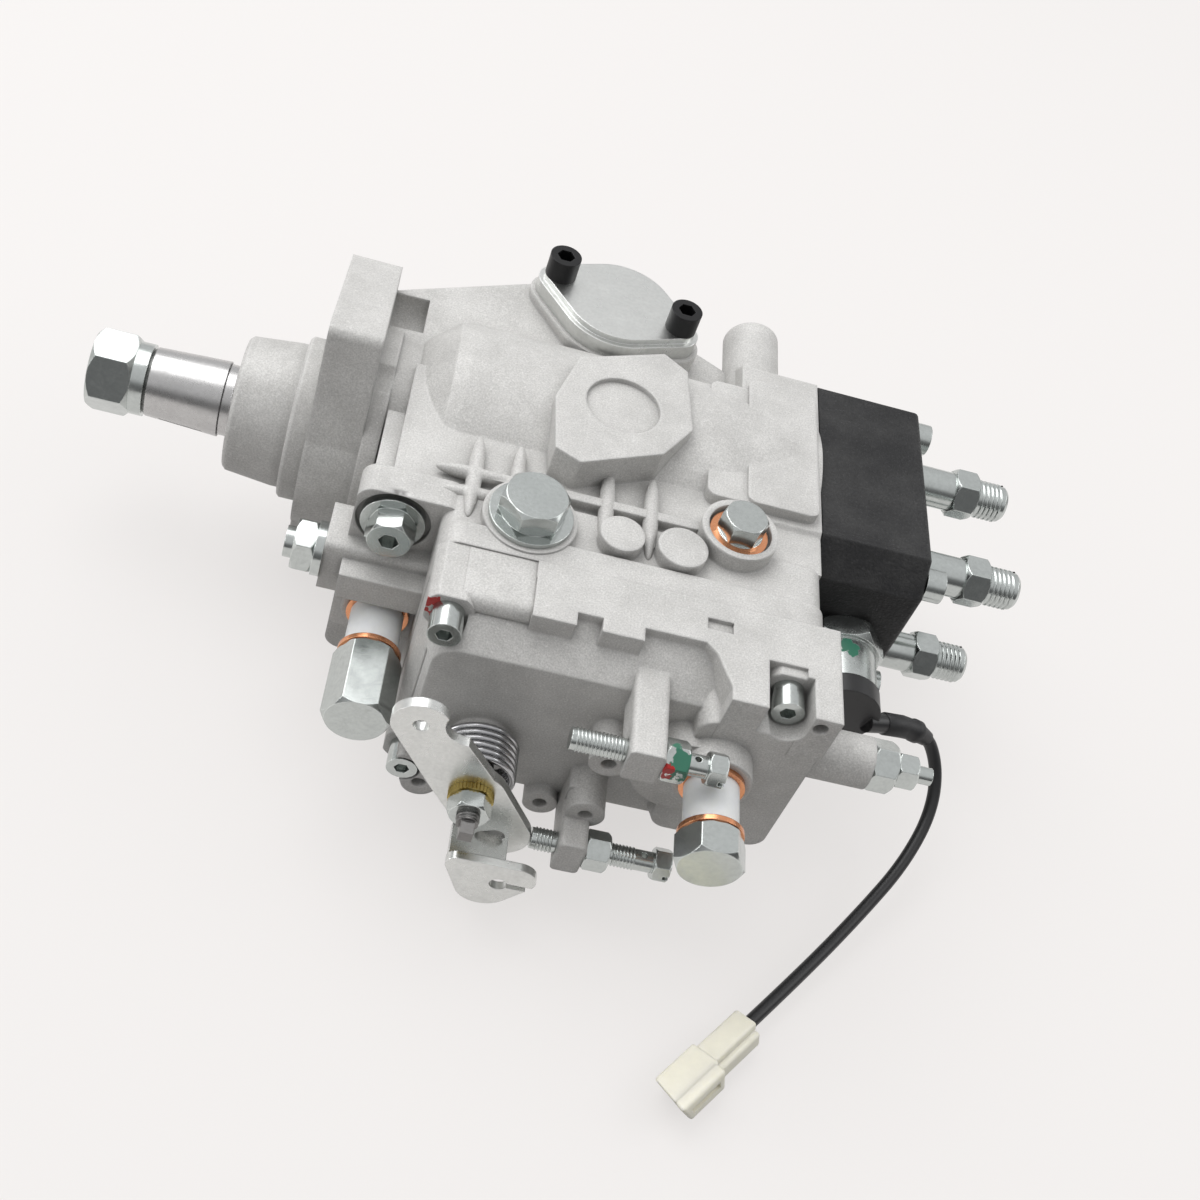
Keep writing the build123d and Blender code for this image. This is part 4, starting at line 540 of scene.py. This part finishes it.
# ---- Camera, lights and floor ----------------------------------------------------------------------
class PUMP_OT_stage(bpy.types.Operator):
    """Set the camera, the soft studio light and the pale floor"""
    bl_idname = "pump.stage"
    bl_label = "Camera, Light and Floor"

    def execute(self, context):
        scene = context.scene
        scene.view_settings.view_transform = "Standard"
        camera = bpy.data.cameras.new("view_camera")
        camera.lens = sizes().lens
        camera.sensor_width = 36.0
        camera.clip_start = 0.01
        scene.camera = linked("view_camera", camera)
        scene.camera.matrix_world = (Matrix.Translation(CAMERA_PLACE)
                                     @ Matrix(CAMERA_AXES).transposed().to_4x4())
        self.floor()
        for name, place, size, power in LIGHTS:
            self.light(name, Vector(place), size, power)
        self.room(scene)
        return {"FINISHED"}

    def floor(self):
        """The floor, just under the part."""
        bm = bmesh.new()
        bmesh.ops.create_grid(bm, x_segments=1, y_segments=1, size=FLOOR_HALF_SIDE,
                              matrix=Matrix.Translation((0.0, 0.0, CAD_BOX[0][2] - FLOOR_GAP)))
        mesh = bpy.data.meshes.new("studio_floor")
        bm.to_mesh(mesh)
        bm.free()
        mesh.materials.append(self.floor_material())
        linked("studio_floor", mesh)

    def floor_material(self):
        """A pale floor that shows its own colour to the camera and in reflections, and keeps a shadow."""
        pale = tuple(colours().floor)
        material, tree, shader = new_material("Studio floor", darker(pale, FLOOR_BOUNCE), 0.0, 0.8)
        path = node(tree, "ShaderNodeLightPath").outputs
        seen = path["Is Camera Ray"]
        for label in ("Is Glossy Ray", "Is Transmission Ray"):
            seen = arithmetic(tree, "MAXIMUM", seen, path[label])
        glow = mix_colour(tree, seen, (0.0, 0.0, 0.0), darker(pale, FLOOR_GLOW))
        feed(tree, glow, shader["Emission Color"])
        shader["Emission Strength"].default_value = 1.0
        return material

    def light(self, name, place, size, power):
        """A square soft light that faces the part."""
        lamp = bpy.data.lights.new(name, "AREA")
        lamp.shape = "SQUARE"
        lamp.size = size
        lamp.energy = power
        turn = (Vector(LIGHT_AIM) - place).to_track_quat("-Z", "Y").to_matrix().to_4x4()
        linked(name, lamp).matrix_world = Matrix.Translation(place) @ turn

    def room(self, scene):
        """A pale room, bright overhead and behind, and dim low down on the viewer's side."""
        world = bpy.data.worlds.new("studio_world")
        world.use_nodes = True
        tree = world.node_tree
        place = node(tree, "ShaderNodeTexCoord").outputs["Generated"]
        rise = node(tree, "ShaderNodeVectorMath", {0: place, 1: ROOM_AXIS}, operation="DOT_PRODUCT")
        height = remapped(tree, rise.outputs["Value"], -0.9, 0.9)
        ramp = node(tree, "ShaderNodeValToRGB", {"Fac": height})
        stops = ramp.color_ramp.elements
        for position, _ in ROOM_LEVELS[2:]:
            stops.new(position)
        for stop, (position, level) in zip(stops, ROOM_LEVELS):
            stop.position = position
            stop.color = (level, level, 1.01 * level, 1.0)
        background = tree.nodes["Background"].inputs
        feed(tree, ramp.outputs["Color"], background["Color"])
        background["Strength"].default_value = ROOM_STRENGTH
        scene.world = world


# ---- The lead --------------------------------------------------------------------------------------
class PUMP_OT_lead(bpy.types.Operator):
    """Lay the solenoid's lead from its cap to the connector"""
    bl_idname = "pump.lead"
    bl_label = "Solenoid Lead and Connector"

    def execute(self, context):
        curve = bpy.data.curves.new("lead", "CURVE")
        curve.dimensions = "3D"
        curve.bevel_depth = sizes().lead_diameter / 2
        curve.bevel_resolution = 5
        curve.resolution_u = 16
        curve.use_fill_caps = True
        spline = curve.splines.new("NURBS")
        spline.points.add(len(LEAD_ROUTE) - 1)
        for point, place in zip(spline.points, LEAD_ROUTE):
            point.co = (*mm(*place), 1.0)
        spline.order_u = 3
        spline.use_endpoint_u = True
        curve.materials.append(moulded_material("Lead sleeving", colours().rubber, 0.42, 0.0002))
        lead = linked("lead", curve)
        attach(lead, "root")
        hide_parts("stop_lead")
        self.connector()
        return {"FINISHED"}

    def connector(self):
        """The two-way connector: a stepped neck, a wider front with a side ridge, and a window in its side."""
        bm = bmesh.new()
        for centre, size, rounding in CONNECTOR_BLOCKS:
            bmesh.ops.bevel(bm, geom=box_into(bm, mm(*centre), mm(*size)), offset=rounding * MM, segments=4,
                            profile=0.5, affect="EDGES", material=-1)
        self.cut_window(bm)
        front = (CONNECTOR_FRONT - CONNECTOR_SHOULDER) * MM
        for vert in bm.verts:
            share = max(0.0, (vert.co.z - CONNECTOR_SHOULDER * MM) / front)
            vert.co.z -= share * (FRONT_SLOPE * (CONNECTOR_TOP * MM - vert.co.y)
                                  + FRONT_SKEW * (CONNECTOR_SIDE * MM - vert.co.x))
        bmesh.ops.transform(bm, matrix=self.connector_place(), verts=bm.verts)
        material = moulded_material("Ivory connector", colours().ivory, 0.4, 0.0005, subsurface=0.3)
        return piece_from(bm, "connector_body", material, smooth=False,
                          replaces=["lead_connector"])

    def cut_window(self, bm):
        """Sink the terminals' window into the connector's side."""
        side = max((face for face in bm.faces
                    if face.normal.x > 0.99 and face.calc_center_median().z > CONNECTOR_SHOULDER * MM),
                   key=lambda face: face.calc_center_median().x)
        bmesh.ops.inset_region(bm, faces=[side], thickness=WINDOW_FRAME * MM)
        inner = bmesh.ops.extrude_discrete_faces(bm, faces=[side])["faces"][0]
        bmesh.ops.translate(bm, vec=-WINDOW_DEPTH * MM * inner.normal, verts=inner.verts)

    def connector_place(self):
        """The connector's frame at the lead's end, its windowed side towards the viewer and rolled up."""
        end = mm(*LEAD_ROUTE[-1])
        way = (end - mm(*LEAD_ROUTE[-2])).normalized()
        across = Vector((way.y, -way.x, 0.0)).normalized()
        above = across.cross(way)
        if above.z < 0:
            above = -above
        if across.y > 0:
            across = -across
        side = math.cos(CONNECTOR_ROLL) * across + math.sin(CONNECTOR_ROLL) * above
        return Matrix.Translation(end) @ Matrix((side, way.cross(side), way)).transposed().to_4x4()


class PUMP_OT_lead_boot(bpy.types.Operator):
    """Sleeve the lead where it leaves the solenoid's cap"""
    bl_idname = "pump.lead_boot"
    bl_label = "Lead Boot"

    def execute(self, context):
        places = self.lead_line()
        bm = bmesh.new()
        rings = [self.ring(bm, places, at * MM, radius * MM) for at, radius in BOOT_RINGS]
        for first, second in zip(rings, rings[1:]):
            bmesh.ops.bridge_loops(bm, edges=first + second)
        for edges in (rings[0], rings[-1]):
            bmesh.ops.holes_fill(bm, edges=edges, sides=BOOT_SIDES)
        material = moulded_material("Boot rubber", colours().rubber, 0.5, 0.0004, depth=0.00006)
        piece_from(bm, "lead_boot", material)
        return {"FINISHED"}

    def lead_line(self):
        """Places along the lead's centre line, from the cap outwards."""
        route = bpy.data.objects["lead"].data.copy()
        route.bevel_depth = 0.0
        guide = bpy.data.objects.new("lead_guide", route)
        line = bpy.data.meshes.new_from_object(guide)
        places = [vert.co.copy() for vert in line.vertices]
        bpy.data.objects.remove(guide)
        bpy.data.curves.remove(route)
        bpy.data.meshes.remove(line)
        cap = mm(*LEAD_ROUTE[0])
        if (places[0] - cap).length > (places[-1] - cap).length:
            places.reverse()
        return places

    def ring(self, bm, places, at, radius):
        """A ring of vertices square to the lead, at a distance along it; its edges."""
        travelled = 0.0
        for first, second in zip(places, places[1:]):
            run = (second - first).length
            if travelled + run >= at:
                break
            travelled += run
        centre = first.lerp(second, (at - travelled) / run)
        turn = (second - first).to_track_quat("Z", "Y").to_matrix().to_4x4()
        return all_edges(bmesh.ops.create_circle(bm, segments=BOOT_SIDES, radius=radius,
                                                 matrix=Matrix.Translation(centre) @ turn)["verts"])


# ---- Finishes on the solids ------------------------------------------------------------------------
class PUMP_OT_castings(bpy.types.Operator):
    """Give the housing and the governor cover their blasted casting, and the head its black coat"""
    bl_idname = "pump.castings"
    bl_label = "Castings"

    def execute(self, context):
        paint, size = colours(), sizes()
        # The grain-and-shade colour paints shade into the casting's corners.
        blasted = {"light": paint.casting, "shade": paint.casting_shade, "bright": paint.casting_fleck_wear_and_highlight,
                   "grain_and_corner_shade": paint.grain_and_corner_shade, "grain": size.grain, "depth": 0.14 * MM, "edge": size.edge,
                   "metallic": 0.12}
        finish_nodes(cast_material("Blasted casting", **blasted), ["pump_housing"])
        finish_nodes(cast_material("Blasted cover", **blasted, dabs=[RED_DAB_ON_COVER]), ["governor_cover"])
        # The head also gets painted shade in its corners and a painted highlight on its edges.
        head = cast_material("Black coated head", light=paint.black_coat, shade=paint.black_shade,
                             bright=paint.black_fleck_wear_and_highlight, grain_and_corner_shade=paint.black_grain_and_corner_shade, grain=0.9 * MM,
                             depth=0.45 * MM, edge=1.4 * MM, metallic=0.0, fleck=0.12)
        head.node_tree.nodes["Principled BSDF"].inputs["Specular IOR Level"].default_value = 0.25
        finish_nodes(head, ["distributor_head"])
        return {"FINISHED"}


class PUMP_OT_metals(bpy.types.Operator):
    """Give the fasteners, shaft, washers and inner pieces their metals"""
    bl_idname = "pump.metals"
    bl_label = "Plated and Ground Metals"

    def execute(self, context):
        paint = colours()
        for name, shade, roughness, edge, nodes in METALS:
            finish_nodes(plated_material(name, getattr(paint, shade), roughness, edge * MM), nodes)
        finish_nodes(plated_material("Painted zinc nuts", paint.zinc, 0.17, 0.4 * MM, dabs=DABS_ON_NUTS),
                     ["lock_nuts"])
        finish_nodes(plated_material("Painted zinc solenoid", paint.zinc, 0.24, 0.4 * MM,
                                     dabs=[GREEN_DAB_ON_SOLENOID]), ["stop_solenoid"])
        finish_nodes(plated_material("Black oxide", paint.black_oxide, 0.38, 0.4 * MM, metallic=0.6),
                     ["timer_screws"])
        return {"FINISHED"}


class PUMP_OT_mouldings(bpy.types.Operator):
    """Give the rubber and plastic pieces their finish"""
    bl_idname = "pump.mouldings"
    bl_label = "Rubber and Plastic"

    def execute(self, context):
        paint = colours()
        finish_nodes(moulded_material("Black rubber", paint.rubber, 0.36, 0.0006),
                     ["oil_seal", "solenoid_cap"])
        finish_nodes(moulded_material("Milky plastic", paint.milky, 0.38, 0.0004, subsurface=0.35),
                     ["transport_sleeves"])
        return {"FINISHED"}


# ---- Detail pieces ---------------------------------------------------------------------------------
class PUMP_OT_return_spring(bpy.types.Operator):
    """Coil the throttle's return spring"""
    bl_idname = "pump.return_spring"
    bl_label = "Throttle Return Spring"

    def execute(self, context):
        size = sizes()
        x, z = THROTTLE
        bm = bmesh.new()
        coil_into(bm, size.coil_radius - size.wire / 2, size.wire, 2.0 * MM, size.coil_turns - 0.25,
                  toward((0, -1, 0), (x, RETURN_SPRING_Y, z)))
        steel = plated_material("Spring wire", colours().return_wire, 0.22, 0.0001)
        piece_from(bm, "return_spring_coil", steel, replaces=["throttle_spring"])
        return {"FINISHED"}


class PUMP_OT_timer_spring(bpy.types.Operator):
    """Coil the timing piston's spring, which its piston squeezes against the cover"""
    bl_idname = "pump.timer_spring"
    bl_label = "Timing Spring"

    def execute(self, context):
        x, y = TIMER
        near, far = TIMER_SPRING
        radius, wire, turns = 7.8, 2.2, 6
        bm = bmesh.new()
        coil_into(bm, (radius - wire / 2) * MM, wire * MM, (far - near - wire) * MM / turns, turns,
                  toward((0, 0, 1), (x, y, near + wire / 2)), steps=36)
        steel = plated_material("Timing spring wire", colours().timing_wire, 0.25, 0.0001)
        coil = piece_from(bm, "timing_spring_coil", steel, replaces=["timer_spring"])
        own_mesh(coil)
        return {"FINISHED"}


class PUMP_OT_threads(bpy.types.Operator):
    """Cut the threads that show on the stop screws, the outlets and the throttle's stud"""
    bl_idname = "pump.threads"
    bl_label = "Threads"

    def execute(self, context):
        zinc = plated_material("Threaded zinc", colours().zinc, 0.24, 0.0001)
        bm = bmesh.new()
        for start, end, z in STOP_THREADS:
            thread_into(bm, 2.98 * MM, 0.30 * MM, 1.0 * MM, (end - start) * MM,
                        toward((1, 0, 0), (start, STOP_Y, z)))
        piece_from(bm, "stop_screw_threads", zinc)
        bm = bmesh.new()
        start, end = OUTLET_THREAD
        for n in range(OUTLETS):
            angle = 2 * math.pi * (n + 0.5) / OUTLETS
            y, z = OUTLET_CIRCLE * math.cos(angle), OUTLET_CIRCLE * math.sin(angle)
            thread_into(bm, 5.78 * MM, 0.42 * MM, 1.5 * MM, (end - start) * MM,
                        toward((1, 0, 0), (start, y, z)))
        piece_from(bm, "outlet_threads", zinc)
        bm = bmesh.new()
        x, z = THROTTLE
        thread_into(bm, 2.98 * MM, 0.25 * MM, 1.0 * MM, 2.4 * MM, toward((0, -1, 0), (x, STUD_THREAD_Y, z)))
        oiled = plated_material("Oiled thread", colours().oiled_steel, 0.3, 0.0001)
        piece_from(bm, "throttle_stud_thread", oiled, body="throttle")
        return {"FINISHED"}


class PUMP_OT_lock_washer(bpy.types.Operator):
    """Cut the throttle's toothed lock washer"""
    bl_idname = "pump.lock_washer"
    bl_label = "Toothed Lock Washer"

    def execute(self, context):
        x, z = THROTTLE
        teeth = sizes().washer_teeth
        radius, root_share, thickness = 6.3 * MM, 0.93, 1.9 * MM
        bm = bmesh.new()
        bmesh.ops.create_cone(bm, cap_ends=True, segments=2 * teeth, radius1=radius, radius2=radius,
                              depth=thickness)
        roots = [vert for vert in bm.verts if round(math.atan2(vert.co.y, vert.co.x) / math.pi * teeth) % 2]
        bmesh.ops.scale(bm, vec=(root_share, root_share, 1.0), verts=roots)
        bmesh.ops.transform(bm, matrix=toward((0, -1, 0), (x, LEVER_FACE_Y - 1.0, z)), verts=bm.verts)
        material = plated_material("Yellow zinc", colours().yellow_zinc, 0.3, 0.0001)
        piece_from(bm, "toothed_washer", material, body="throttle", smooth=False,
                   replaces=["throttle_washer"])
        return {"FINISHED"}


class PUMP_OT_cover_cheek(bpy.types.Operator):
    """Fill out the cover's side between its front corner and the first notched block"""
    bl_idname = "pump.cover_cheek"
    bl_label = "Cover Cheek"

    def execute(self, context):
        bm = bmesh.new()
        low, high = (mm(*corner) for corner in CHEEK)
        edges = box_into(bm, (low + high) / 2, high - low)
        middle = (low + high) / 2
        brow = [edge for edge in edges
                if all(vert.co.z > middle.z and vert.co.y < middle.y for vert in edge.verts)]
        bmesh.ops.bevel(bm, geom=brow, offset=3.6 * MM, segments=8, profile=0.5, affect="EDGES", material=-1)
        piece_from(bm, "cover_cheek", bpy.data.materials["Blasted cover"], smooth=False)
        return {"FINISHED"}


class PUMP_OT_side_ribs(bpy.types.Operator):
    """Round off the stiffening ribs on the housing's side into spindles"""
    bl_idname = "pump.side_ribs"
    bl_label = "Spindle Ribs"

    def execute(self, context):
        bm = bmesh.new()
        for centre, half in RIBS:
            shape = Matrix.Translation(mm(*centre)) @ Matrix.Diagonal((*mm(*half), 1.0))
            bmesh.ops.create_uvsphere(bm, u_segments=28, v_segments=20, radius=1.0, matrix=shape)
        piece_from(bm, "side_ribs", bpy.data.materials["Blasted casting"])
        return {"FINISHED"}


# ---- Panel and registration ------------------------------------------------------------------------
OPERATORS = (PUMP_OT_stage, PUMP_OT_lead, PUMP_OT_lead_boot, PUMP_OT_castings, PUMP_OT_metals,
             PUMP_OT_mouldings, PUMP_OT_return_spring, PUMP_OT_timer_spring, PUMP_OT_threads,
             PUMP_OT_lock_washer, PUMP_OT_side_ribs, PUMP_OT_cover_cheek)


class PUMP_PT_panel(bpy.types.Panel):
    """Sizes, colours and pieces of the pump"""
    bl_idname = "PUMP_PT_panel"
    bl_label = "Injection Pump"
    bl_space_type = "VIEW_3D"
    bl_region_type = "UI"
    bl_category = "Pump"

    def draw(self, context):
        for group in (context.scene.pump_sizes, context.scene.pump_colours):
            box = self.layout.box()
            for name in group.__annotations__:
                box.prop(group, name)
        for operator in OPERATORS:
            self.layout.operator(operator.bl_idname)


CLASSES = (PumpSizes, PumpColours, *OPERATORS, PUMP_PT_panel)


def register():
    for item in CLASSES:
        bpy.utils.register_class(item)
    bpy.types.Scene.pump_sizes = PointerProperty(type=PumpSizes)
    bpy.types.Scene.pump_colours = PointerProperty(type=PumpColours)


def unregister():
    del bpy.types.Scene.pump_sizes
    del bpy.types.Scene.pump_colours
    for item in reversed(CLASSES):
        bpy.utils.unregister_class(item)


def main():
    """Make the whole scene, camera and lead first."""
    register()
    for operator in OPERATORS:
        family, name = operator.bl_idname.split(".")
        getattr(getattr(bpy.ops, family), name)()


if __name__ == "__main__":
    main()
